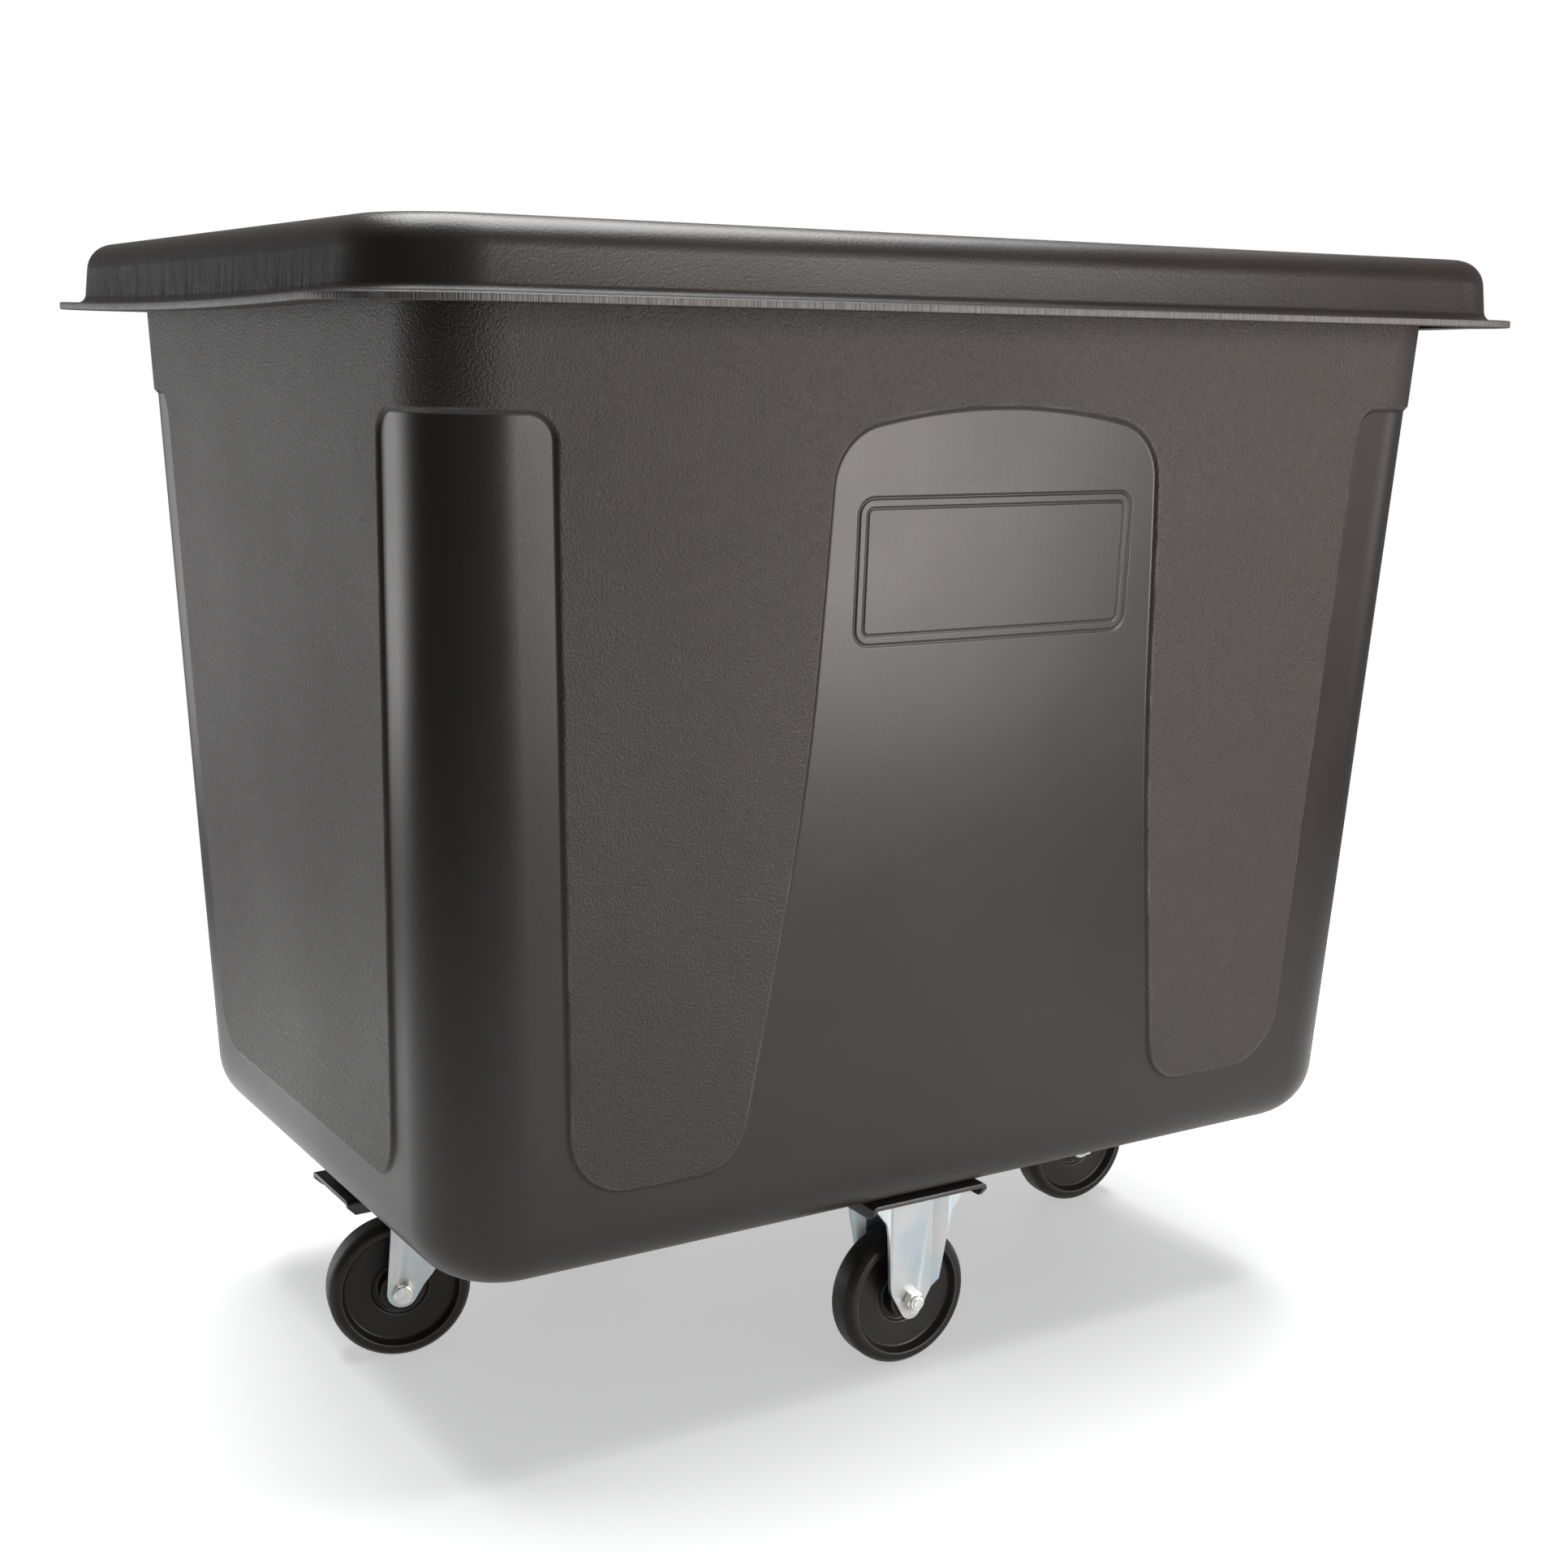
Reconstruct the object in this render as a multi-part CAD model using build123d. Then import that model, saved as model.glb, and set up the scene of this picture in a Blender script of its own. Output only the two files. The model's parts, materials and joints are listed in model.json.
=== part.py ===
from build123d import *
import math
import os

# Cube truck: a deep rolled-rim plastic tub on a steel underframe with four
# casters in a diamond: two fixed at the middle of the long sides, two swivel
# at the middle of the short ends. Millimetres, +Z up, length along X, origin
# on the floor under the middle of the tub.

STANDING = (Align.CENTER, Align.CENTER, Align.MIN)
HANGING = (Align.CENTER, Align.CENTER, Align.MAX)

# ---------------------------------------------------------------- tub sizes
rim_length = 1118.0
rim_width = 828.0
overall_height = 975.0
rim_depth = 58.0           # rim top down to the underside of the lip
lip_thickness = 6.0
lip_overhang = 22.0        # lip edge out from the foot of the skirt
lip_corner_radius = 104.0
skirt_flare = 3.0          # how far the skirt leans out at its foot
shoulder_radius = 24.0
mouth_radius = 6.0
wall = 5.0
rim_reach_long = 74.0      # lip edge to the short wall, at the lip
rim_reach_short = 65.0     # lip edge to the long wall, at the lip
draft_run_long = 23.0      # how far each short wall leans in over its height
draft_run_short = 48.0
body_corner_top = 62.0
body_corner_bottom = 75.0
base_radius = 54.0

# Raised, grained areas of the walls.
step = 3.2
post_top_drop = 72.0       # lip underside to the top of the corner posts
leg_bottom_rise = 76.0     # tub underside to the foot of the raised legs
post_width_long = (97.0, 105.0)    # smooth corner post on a long wall, top and foot
post_width_short = (92.0, 101.0)   # and on a short wall
post_radius = 22.0
leg_radius = 55.0
leg_inner_radius = 42.0
leg_round_share = 0.45         # most of a leg's foot that one of its rounds may take
panel_half_top = 157.0
panel_half_middle = 171.0
panel_half_foot = 214.0
panel_shoulder_drop = 91.0
panel_crown_drop = 69.0
panel_middle_drop = 372.0
panel_corner_radius = 50.0
panel_crown_radius = 600.0
panel_bend_radius = 300.0
label_size = (270.0, 116.0)
label_radius = 14.0
label_drop = 195.0         # lip underside to the middle of the blank label
label_line = 4.0
label_depth = 1.2

# ---------------------------------------------------------- underframe sizes
steel = 4.0
flange_depth = 13.0
flange_chamfer = 7.0
cross_channel_width = 120.0
cross_channel_reach = 24.0     # its ends stop this far inside the tub's foot
end_channel_width = 85.0
end_channel_length = 184.0
end_channel_reach = 18.0

# -------------------------------------------------------------- caster sizes
wheel_radius = 63.5
wheel_width = 32.0
tread_radius = 5.0
wheel_headroom = 39.0          # top of a wheel up to the channel
web_half = 8.0                 # wheel's middle plane to the face of its web
web_radius = 49.7
web_slope = 3.0                # how far the rim's inner wall leans out
hub_groove_half = 5.0          # middle plane to the floor of the groove round the hub
hub_groove_width = 5.5
edge_break = 1.0
fixed_inset = 72.0             # tub's foot to the fixed wheels' middle
swivel_inset = 112.0           # tub's foot to the swivel axes
trail = 31.0
left_turn = -12.4              # the left caster has swung this far, degrees
plate_length = 94.0
plate_width = 64.0
plate_thickness = 3.5
plate_corner_radius = 4.2
bolt_pattern = (74.0, 40.0)
fork_sheet = 3.0
hub_width = 36.0
hub_side_gap = 1.0
hub_radius = 19.5
bore_gap = 0.05
leg_hole_gap = 0.2
axle_radius = 5.0
sleeve_wall = 3.0
axle_head_rim = 3.0            # half the across-flats size beyond the axle
axle_head = 6.5
axle_nut_height = 8.0
collar_wall = 1.6
collar_height = 2.0
axle_proud = 1.5

# Fixed fork: a flat leg with flared edges, narrowest near the axle.
fixed_flat_half = 21.0
fixed_flange = 10.0
fixed_tip_radius = 10.5
fixed_tip_drop = 8.0
fixed_waist_half = (26.0, 30.0, 34.0)      # half widths at the three waist levels
fixed_waist_rise = (16.5, 54.5)            # the lower two levels above the axle
fixed_brow_drop = 19.5                     # the top one below the plate
fixed_brow_radius = 12.0

# Swivel fork: a raked leg joggled outwards towards the swivel axis.
swivel_flat_end = 19.5         # the leg's flat ends here, measured from the axle
swivel_joggle = (7.5, 5.0)
swivel_tip_radius = 13.5
swivel_heel = 6.5
swivel_cheek_drop = 17.5

bolt_radius = 4.0
bolt_head_rim = 4.0
bolt_head_height = 4.0
bolt_head_round = 3.2
bolt_clearance = 0.3
bolt_proud = 0.5
washer_rim = 8.0
washer_thickness = 2.0
nut_rim = 2.5
nut_height = 5.5

race_radius = 27.0
race_drop = 4.0
race_gap = 3.0                 # race to fork crown
upper_ball_radius = 3.4
upper_ball_circle = 22.0
upper_ball_count = 16
lower_ball_radius = 2.4
lower_ball_circle = 13.0
lower_ball_count = 14
ball_gap = 0.3
crown_thickness = 4.0
crown_radius = 31.0
lower_race_radius = 18.0
lower_race_thickness = 4.7
lower_race_gap = 2.3           # fork crown to lower race
kingpin_radius = 6.0
kingpin_head_rim = 4.0
kingpin_head = 3.5
kingpin_peen = 2.0
kingpin_clearance = 1.0

# ------------------------------------------------------------ derived levels
lip_level = overall_height - rim_depth
caster_height = 2 * wheel_radius + wheel_headroom
floor_level = caster_height + steel
axle_level = wheel_radius
plate_level = caster_height - plate_thickness
crown_level = plate_level - race_drop - race_gap
leg_face = hub_width / 2 + hub_side_gap          # inner face of a fork leg
leg_outer = leg_face + fork_sheet
sleeve_radius = axle_radius + sleeve_wall
axle_hex = 2 * (axle_radius + axle_head_rim)
bolt_head_radius = bolt_radius + bolt_head_rim
washer_radius = bolt_radius + washer_rim
nut_hex = 2 * (bolt_radius + nut_rim)
lower_race_top = crown_level - crown_thickness - lower_race_gap
post_top = lip_level - post_top_drop
leg_bottom = floor_level + leg_bottom_rise
body_rise = lip_level - floor_level
foot_half_length = rim_length / 2 - rim_reach_long - draft_run_long
foot_half_width = rim_width / 2 - rim_reach_short - draft_run_short
swivel_x = foot_half_length - swivel_inset
fixed_y = foot_half_width - fixed_inset


def through(thickness):
    """Length of a cutter that passes right through a piece this thick."""
    return 4 * thickness


def save(node, *solids):
    """Write one node: one solid, or a group of separate ones."""
    shape = solids[0] if len(solids) == 1 else Compound(children=list(solids))
    export_step(shape, f"parts/{node}.step")


def flat_rectangle(half_length, half_width, radius, level):
    return Pos(0, 0, level) * RectangleRounded(2 * half_length, 2 * half_width, radius)


# ======================================================================= tub
def half_length_at(level):
    return foot_half_length + draft_run_long * (level - floor_level) / body_rise


def half_width_at(level):
    return foot_half_width + draft_run_short * (level - floor_level) / body_rise


def body_block(out, low, high):
    """The tapering body between two levels, its walls moved out by out."""
    sections = []
    for level in (low, high):
        share = (level - floor_level) / body_rise
        radius = body_corner_bottom + (body_corner_top - body_corner_bottom) * share
        sections.append(
            flat_rectangle(half_length_at(level) + out, half_width_at(level) + out, radius + out, level)
        )
    return loft(sections, ruled=True)


def rounded_foot(block, radius):
    return fillet(block.edges().group_by(Axis.Z)[0], radius)


def outline(corners):
    """A face from (across, height, radius) corners, each corner rounded."""
    face = make_face(Polyline(*[(a, h) for a, h, _ in corners], close=True))
    for across, height, radius in corners:
        if radius > 0:
            corner = face.vertices().sort_by_distance((across, height, 0))[0]
            face = fillet(corner, radius)
    return face


def mirrored(corners):
    """The corners of the right-hand half, then the same on the left."""
    return corners + [(-a, h, r) for a, h, r in reversed(corners) if a != 0]


def raised_on_long_walls():
    """Outline of the raised area as seen square on to a long wall."""
    top = overall_height + rim_depth
    post_edge = half_length_at(post_top) + step - post_width_long[0]
    post_foot = half_length_at(leg_bottom) + step - post_width_long[1]
    leg_room = leg_round_share * (post_foot - panel_half_foot)
    return outline(mirrored([
        (rim_length / 2, top, 0),
        (rim_length / 2, post_top, 0),
        (post_edge, post_top, post_radius),
        (post_foot, leg_bottom, min(leg_radius, leg_room)),
        (panel_half_foot, leg_bottom, min(leg_inner_radius, leg_room)),
        (panel_half_middle, lip_level - panel_middle_drop, panel_bend_radius),
        (panel_half_top, lip_level - panel_shoulder_drop, panel_corner_radius),
        (0, lip_level - panel_crown_drop, panel_crown_radius),
    ]))


def raised_on_short_walls():
    top = overall_height + rim_depth
    post_edge = half_width_at(post_top) + step - post_width_short[0]
    post_foot = half_width_at(leg_bottom) + step - post_width_short[1]
    return outline(mirrored([
        (rim_width / 2, top, 0),
        (rim_width / 2, post_top, 0),
        (post_edge, post_top, post_radius),
        (post_foot, leg_bottom, leg_inner_radius),
    ]))


def raised_zone(shrink):
    """Everything in line with the raised areas of the four walls."""
    long_walls = Plane.XZ * raised_on_long_walls()
    short_walls = Plane.YZ * raised_on_short_walls()
    if shrink > 0:
        long_walls = offset(long_walls, -shrink)
        short_walls = offset(short_walls, -shrink)
    return (extrude(long_walls, amount=rim_width, both=True)
            + extrude(short_walls, amount=rim_length, both=True))


def rim_block(inward, low, high):
    """The rolled rim's skirt as a block, moved in by inward."""
    foot_length = rim_length / 2 - lip_overhang - inward
    foot_width = rim_width / 2 - lip_overhang - inward
    radius = lip_corner_radius - lip_overhang - inward
    return loft([
        flat_rectangle(foot_length, foot_width, radius, low),
        flat_rectangle(foot_length - skirt_flare, foot_width - skirt_flare, radius - skirt_flare, high),
    ], ruled=True)


def rounded_top(block, radius):
    return fillet(block.edges().group_by(Axis.Z)[-1], radius)


def label_groove():
    """A blank rounded frame line sunk into both long walls."""
    line = RectangleRounded(*label_size, label_radius)
    line -= offset(line, -label_line)
    bar = extrude(Plane.XZ * Pos(0, lip_level - label_drop) * line, amount=rim_width, both=True)
    skin = body_block(0, leg_bottom, post_top) - body_block(-label_depth, leg_bottom, post_top)
    return bar & skin


def floor_bolt_holes():
    """Holes for the sixteen caster bolts, through floor and channels."""
    holes = []
    for x, y in bolt_places():
        holes.append(Pos(x, y, floor_level) * Cylinder(bolt_radius + bolt_clearance, through(wall)))
    return holes


def caster_places():
    """Caster name and the place of its plate."""
    return {
        "left_swivel": (-swivel_x, 0),
        "right_swivel": (swivel_x, 0),
        "front_fixed": (0, -fixed_y),
        "rear_fixed": (0, fixed_y),
    }


def plate_bolts():
    """The four bolt places of one caster plate, about its middle."""
    across, deep = bolt_pattern[0] / 2, bolt_pattern[1] / 2
    return [(sx * across, sy * deep) for sx in (-1, 1) for sy in (-1, 1)]


def bolt_places():
    return [(cx + bx, cy + by) for cx, cy in caster_places().values() for bx, by in plate_bolts()]


def washer_seats():
    """Flat seats that keep the washers clear of the floor's rounded edge."""
    seats = []
    for x, y in bolt_places():
        seat = Cylinder(washer_radius + bolt_clearance, through(wall), align=STANDING)
        seats.append(Pos(x, y, floor_level + wall) * seat)
    return seats


def mouth_edges(tub):
    """The edges round the mouth, at the inner side of the rim's flat top."""
    beside = half_width_at(overall_height) + step
    beyond = half_length_at(overall_height) + step
    rim_top = tub.edges().filter_by_position(Axis.Z, overall_height - 0.01, overall_height + 0.01)
    return [e for e in rim_top if abs(e.center().X) < beyond and abs(e.center().Y) < beside]


def make_tub():
    body = rounded_foot(body_block(0, floor_level, overall_height - wall / 2), base_radius)
    body += body_block(step, leg_bottom - step, overall_height - wall / 2) & raised_zone(0)
    rim = rounded_top(rim_block(0, lip_level, overall_height), shoulder_radius)
    rim += extrude(
        flat_rectangle(rim_length / 2, rim_width / 2, lip_corner_radius, lip_level), lip_thickness
    )
    rim -= rounded_top(rim_block(wall, lip_level, overall_height - wall), shoulder_radius - wall)
    inside = overall_height + rim_depth
    hollow = rounded_foot(body_block(-wall, floor_level + wall, inside), base_radius - wall)
    hollow += body_block(step - wall, leg_bottom - step, inside) & raised_zone(wall)
    tub = body + rim - hollow - label_groove() - floor_bolt_holes() - washer_seats()
    return fillet(mouth_edges(tub), mouth_radius)


# ================================================================ underframe
def channel(length, width):
    """A channel along X, open side down, with its flange ends cut back."""
    box = Pos(0, 0, floor_level) * Box(length, width, flange_depth, align=HANGING)
    ends = box.edges().filter_by(Axis.Y).group_by(Axis.Z)[0]
    box = chamfer(ends, flange_chamfer)
    corners = box.edges().filter_by(Axis.X).group_by(Axis.Z)[-1]
    box = fillet(corners, steel)
    inner = Box(2 * length, width - 2 * steel, flange_depth, align=HANGING)
    return box - Pos(0, 0, floor_level - steel) * inner


def make_channels():
    holes = floor_bolt_holes()
    cross_length = 2 * (foot_half_width - cross_channel_reach)
    cross = Rot(0, 0, 90) * channel(cross_length, cross_channel_width)
    middle = foot_half_length - end_channel_reach - end_channel_length / 2
    save("cross_channel", cross - holes)
    for side, sign in (("left", -1), ("right", 1)):
        end = Pos(sign * middle, 0, 0) * channel(end_channel_length, end_channel_width)
        save(f"{side}_end_channel", end - holes)


# =================================================================== casters
def hexagon(across_flats, height):
    return extrude(RegularPolygon(across_flats / 2, 6, major_radius=False), height)


def caster_plate():
    plate = flat_rectangle(plate_length / 2, plate_width / 2, plate_corner_radius, plate_level)
    plate = extrude(plate, plate_thickness)
    for x, y in plate_bolts():
        plate -= Pos(x, y, plate_level) * Cylinder(bolt_radius + bolt_clearance, through(plate_thickness))
    return plate


def folded_sheet(line):
    """Section of folded sheet: line is its outer face, the metal is on +Y."""
    back = []
    for i, (x, y) in enumerate(line):
        x0, y0 = line[max(i - 1, 0)]
        x1, y1 = line[min(i + 1, len(line) - 1)]
        before = math.atan2(y - y0, x - x0) if i > 0 else None
        after = math.atan2(y1 - y, x1 - x) if i < len(line) - 1 else before
        before = after if before is None else before
        middle = (before + after) / 2
        reach = fork_sheet / math.cos((after - before) / 2)
        back.append((x - reach * math.sin(middle), y + reach * math.cos(middle)))
    return make_face(Polyline(*line, *reversed(back), close=True))


def axle_hole():
    return Rot(90, 0, 0) * Cylinder(axle_radius + leg_hole_gap, through(plate_width))


def teardrop(radius, level, upper):
    """The convex outline round an axle boss and the upper points."""
    ring = Pos(0, level) * Circle(radius)
    top = Polyline(*upper, close=True)
    return make_hull(ring.edges() + top.edges())


def fixed_leg():
    """One leg with flared edges, outer face towards -Y."""
    brow_half = plate_length / 2
    flare = fixed_flat_half + fixed_flange
    section = folded_sheet([
        (-brow_half, -leg_outer - fixed_flange), (-flare, -leg_outer - fixed_flange),
        (-fixed_flat_half, -leg_outer), (fixed_flat_half, -leg_outer),
        (flare, -leg_outer - fixed_flange), (brow_half, -leg_outer - fixed_flange),
    ])
    narrow, middle, brow = fixed_waist_half
    low, high = (axle_level + rise for rise in fixed_waist_rise)
    top = [(-narrow, low), (narrow, low), (0, low + edge_break)]
    tip = teardrop(fixed_tip_radius, axle_level - fixed_tip_drop, top)
    sides = outline(mirrored([
        (narrow, low, 0), (middle, high, 0), (brow, plate_level - fixed_brow_drop, fixed_brow_radius),
        (brow_half, plate_level - fork_sheet, 0), (brow_half, plate_level + edge_break, 0),
    ]))
    sheet = extrude(section, caster_height)
    leg = sheet & extrude(Plane.XZ * (tip + sides), amount=plate_width, both=True)
    return leg - Pos(0, 0, axle_level) * axle_hole()


def fixed_fork():
    leg = fixed_leg()
    return caster_plate() + leg + Rot(0, 0, 180) * leg


def swivel_leg():
    """One raked leg, axle at X=0, swivel axis at X=trail, outer face to -Y."""
    toe = trail + crown_radius
    joggle_end = swivel_flat_end + swivel_joggle[0]
    section = folded_sheet([
        (-2 * swivel_tip_radius, -leg_outer), (swivel_flat_end, -leg_outer),
        (joggle_end, -leg_outer - swivel_joggle[1]), (toe, -leg_outer - swivel_joggle[1]),
    ])
    cheek = toe - edge_break
    top = [(-swivel_heel, crown_level), (cheek, crown_level), (cheek, crown_level - swivel_cheek_drop)]
    side = teardrop(swivel_tip_radius, axle_level, top)
    sheet = extrude(section, caster_height)
    leg = sheet & extrude(Plane.XZ * side, amount=plate_width, both=True)
    return leg - Pos(0, 0, axle_level) * axle_hole()


def swivel_fork():
    """Fork with its swivel axis at the origin and its axle towards -X."""
    leg = Pos(-trail, 0, 0) * swivel_leg()
    heel = trail + swivel_heel
    crown = Circle(crown_radius) + Pos(-heel / 2, 0) * Rectangle(heel, 2 * leg_outer)
    crown = Pos(0, 0, crown_level - crown_thickness) * extrude(crown, crown_thickness)
    fork = crown + leg + mirror(leg, Plane.XZ)
    fork -= Pos(0, 0, crown_level) * Cylinder(kingpin_radius + kingpin_clearance, through(crown_thickness))
    fork -= upper_groove()
    return fork - lower_groove()


def ball_level(upper):
    """Height of the ball centres in the upper or the lower race."""
    if upper:
        return plate_level - race_drop - race_gap / 2
    return crown_level - crown_thickness - race_gap / 2


def groove(circle, radius, level):
    return Pos(0, 0, level) * Torus(circle, radius + ball_gap)


def upper_groove():
    return groove(upper_ball_circle, upper_ball_radius, ball_level(True))


def lower_groove():
    return groove(lower_ball_circle, lower_ball_radius, ball_level(False))


def ball_ring(circle, radius, level, count):
    balls = []
    for i in range(count):
        turn = 2 * math.pi * i / count
        balls.append(Pos(circle * math.cos(turn), circle * math.sin(turn), level) * Sphere(radius))
    return balls


def peened_end():
    """The kingpin's upper end, spread into a countersink in the plate."""
    return Cone(kingpin_radius, kingpin_radius + kingpin_peen, kingpin_peen, align=HANGING)


def swivel_plate():
    plate = caster_plate()
    ring = Cylinder(race_radius, race_drop, align=HANGING)
    ring -= Cylinder(kingpin_radius + kingpin_clearance, through(race_drop))
    plate += Pos(0, 0, plate_level) * ring
    plate -= Pos(0, 0, plate_level) * Cylinder(kingpin_radius, through(race_drop))
    plate -= Pos(0, 0, caster_height) * peened_end()
    return plate - upper_groove()


def kingpin():
    """Riveted pin: peened flush in the plate, headed under the lower race."""
    foot = lower_race_top - lower_race_thickness
    pin = Pos(0, 0, foot) * Cylinder(kingpin_radius, caster_height - foot, align=STANDING)
    head = Cylinder(kingpin_radius + kingpin_head_rim, kingpin_head, align=HANGING)
    head = fillet(head.edges().group_by(Axis.Z)[0], kingpin_head / 2)
    return pin + Pos(0, 0, foot) * head + Pos(0, 0, caster_height) * peened_end()


def lower_race():
    cup = Cylinder(lower_race_radius, lower_race_thickness, align=HANGING)
    cup -= Cylinder(kingpin_radius + bore_gap, through(lower_race_thickness))
    return Pos(0, 0, lower_race_top) * cup - lower_groove()


def wheel():
    """One-piece wheel about Z, dished on both faces, with a grooved hub."""
    half, hub = wheel_width / 2, hub_width / 2
    groove_edge = hub_radius + hub_groove_width
    side = [
        (sleeve_radius + bore_gap, hub), (hub_radius - edge_break, hub),
        (hub_radius, hub_groove_half), (groove_edge, hub_groove_half),
        (groove_edge + edge_break, web_half), (web_radius, web_half),
        (web_radius + web_slope, half), (wheel_radius, half),
    ]
    profile = make_face(Polyline(*side, *[(r, -h) for r, h in reversed(side)], close=True))
    rounds = profile.vertices().group_by(Axis.X)[-1]
    profile = fillet(rounds, tread_radius)
    return revolve(Plane.XZ * profile, Axis.Z)


def axle_sleeve():
    sleeve = Cylinder(sleeve_radius, 2 * leg_face)
    return sleeve - Cylinder(axle_radius + bore_gap, through(leg_face))


def axle_bolt():
    """Bolt along Z with its head low, below the outer face of the lower leg."""
    length = 2 * leg_outer + axle_nut_height + collar_height + axle_proud
    shank = Pos(0, 0, -leg_outer) * Cylinder(axle_radius, length, align=STANDING)
    shank = chamfer(shank.edges().group_by(Axis.Z)[-1], edge_break)
    return shank + Pos(0, 0, -leg_outer - axle_head) * hexagon(axle_hex, axle_head)


def axle_nut():
    nut = Pos(0, 0, leg_outer) * hexagon(axle_hex, axle_nut_height)
    collar = Cylinder(axle_radius + collar_wall, collar_height, align=STANDING)
    nut += Pos(0, 0, leg_outer + axle_nut_height) * collar
    return nut - Cylinder(axle_radius + bore_gap, through(leg_outer))


def mounting_bolt():
    """Round-headed bolt dropped through washer, floor, channel and plate."""
    seat = floor_level + wall + washer_thickness
    tip = plate_level - nut_height - bolt_proud
    shank = Pos(0, 0, tip) * Cylinder(bolt_radius, seat - tip, align=STANDING)
    head = Cylinder(bolt_head_radius, bolt_head_height, align=STANDING)
    head = fillet(head.edges().group_by(Axis.Z)[-1], bolt_head_round)
    return shank + Pos(0, 0, seat) * head


def washer():
    ring = Cylinder(washer_radius, washer_thickness, align=STANDING)
    ring -= Cylinder(bolt_radius + bolt_clearance, through(washer_thickness))
    return Pos(0, 0, floor_level + wall) * ring


def mounting_nut():
    nut = Pos(0, 0, plate_level - nut_height) * hexagon(nut_hex, nut_height)
    return nut - Pos(0, 0, plate_level) * Cylinder(bolt_radius + bore_gap, through(nut_height))


def save_plate_fasteners(caster, place):
    spots = [place * Pos(x, y, 0) for x, y in plate_bolts()]
    save(f"{caster}_bolts", *[spot * mounting_bolt() for spot in spots])
    save(f"{caster}_washers", *[spot * washer() for spot in spots])
    save(f"{caster}_nuts", *[spot * mounting_nut() for spot in spots])


def save_axle_set(caster, axle):
    """Wheel, sleeve, bolt and nut; axle turns local Z along the axle."""
    save(f"{caster}_wheel", axle * wheel())
    save(f"{caster}_axle_sleeve", axle * axle_sleeve())
    save(f"{caster}_axle_bolt", axle * axle_bolt())
    save(f"{caster}_axle_nut", axle * axle_nut())


def make_fixed_caster(caster, turn):
    x, y = caster_places()[caster]
    place = Pos(x, y, 0)
    save(f"{caster}_fork", place * Rot(0, 0, turn) * fixed_fork())
    # The nut faces outwards, away from the middle of the truck.
    save_axle_set(caster, place * Rot(0, 0, turn) * Pos(0, 0, axle_level) * Rot(90, 0, 0))
    save_plate_fasteners(caster, place)


def make_swivel_caster(caster, turn):
    x, y = caster_places()[caster]
    place = Pos(x, y, 0)
    swung = place * Rot(0, 0, turn)
    save(f"{caster}_plate", place * swivel_plate())
    save(f"{caster}_kingpin", place * kingpin())
    save(f"{caster}_lower_race", place * lower_race())
    save(f"{caster}_fork", swung * swivel_fork())
    upper = ball_ring(upper_ball_circle, upper_ball_radius, ball_level(True), upper_ball_count)
    lower = ball_ring(lower_ball_circle, lower_ball_radius, ball_level(False), lower_ball_count)
    save(f"{caster}_upper_balls", *[swung * ball for ball in upper])
    save(f"{caster}_lower_balls", *[swung * ball for ball in lower])
    # The bolt's head is on the -Y side of the fork before it swings.
    save_axle_set(caster, swung * Pos(-trail, 0, axle_level) * Rot(-90, 0, 0))
    save_plate_fasteners(caster, place)


os.makedirs("parts", exist_ok=True)
save("tub", make_tub())
make_channels()
make_fixed_caster("front_fixed", 0)
make_fixed_caster("rear_fixed", 180)
make_swivel_caster("left_swivel", left_turn)
make_swivel_caster("right_swivel", 180)
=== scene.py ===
# %% [markdown]
# # A cube truck, from its frame to its finish
# The object is a deep plastic tub with a rolled rim, bolted to three steel
# channels and carried by four casters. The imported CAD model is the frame: it
# says where each piece is and how it moves. This script gives each piece the
# shape and the surface that the eye expects, and never moves the frame.

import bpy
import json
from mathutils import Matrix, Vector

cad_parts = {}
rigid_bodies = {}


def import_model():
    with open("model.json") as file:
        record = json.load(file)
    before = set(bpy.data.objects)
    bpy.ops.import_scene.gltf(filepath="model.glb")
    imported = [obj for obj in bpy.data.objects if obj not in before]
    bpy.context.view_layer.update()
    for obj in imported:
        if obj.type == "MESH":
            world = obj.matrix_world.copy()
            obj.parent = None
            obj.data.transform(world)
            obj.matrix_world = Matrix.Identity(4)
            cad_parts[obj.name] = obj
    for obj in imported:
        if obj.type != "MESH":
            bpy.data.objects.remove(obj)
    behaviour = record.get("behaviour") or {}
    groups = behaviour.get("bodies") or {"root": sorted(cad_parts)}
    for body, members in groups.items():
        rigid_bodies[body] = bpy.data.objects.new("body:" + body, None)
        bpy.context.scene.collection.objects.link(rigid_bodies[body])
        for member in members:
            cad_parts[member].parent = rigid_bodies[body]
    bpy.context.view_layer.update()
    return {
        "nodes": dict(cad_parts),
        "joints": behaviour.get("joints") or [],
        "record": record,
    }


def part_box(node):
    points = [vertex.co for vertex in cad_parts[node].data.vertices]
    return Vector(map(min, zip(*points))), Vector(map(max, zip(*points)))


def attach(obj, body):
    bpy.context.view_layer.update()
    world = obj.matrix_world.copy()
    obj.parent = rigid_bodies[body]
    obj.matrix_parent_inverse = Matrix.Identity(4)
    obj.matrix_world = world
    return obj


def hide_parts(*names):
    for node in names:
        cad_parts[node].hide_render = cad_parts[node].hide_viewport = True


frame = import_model()

# %% Tools used below
import json
import math

import bmesh
import bpy
import numpy as np
from mathutils import Matrix, Vector
from mathutils.geometry import delaunay_2d_cdt

mm = 0.001
scene = bpy.context.scene
CASTERS = ("left_swivel", "right_swivel", "front_fixed", "rear_fixed")
print("casters:", CASTERS)
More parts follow.
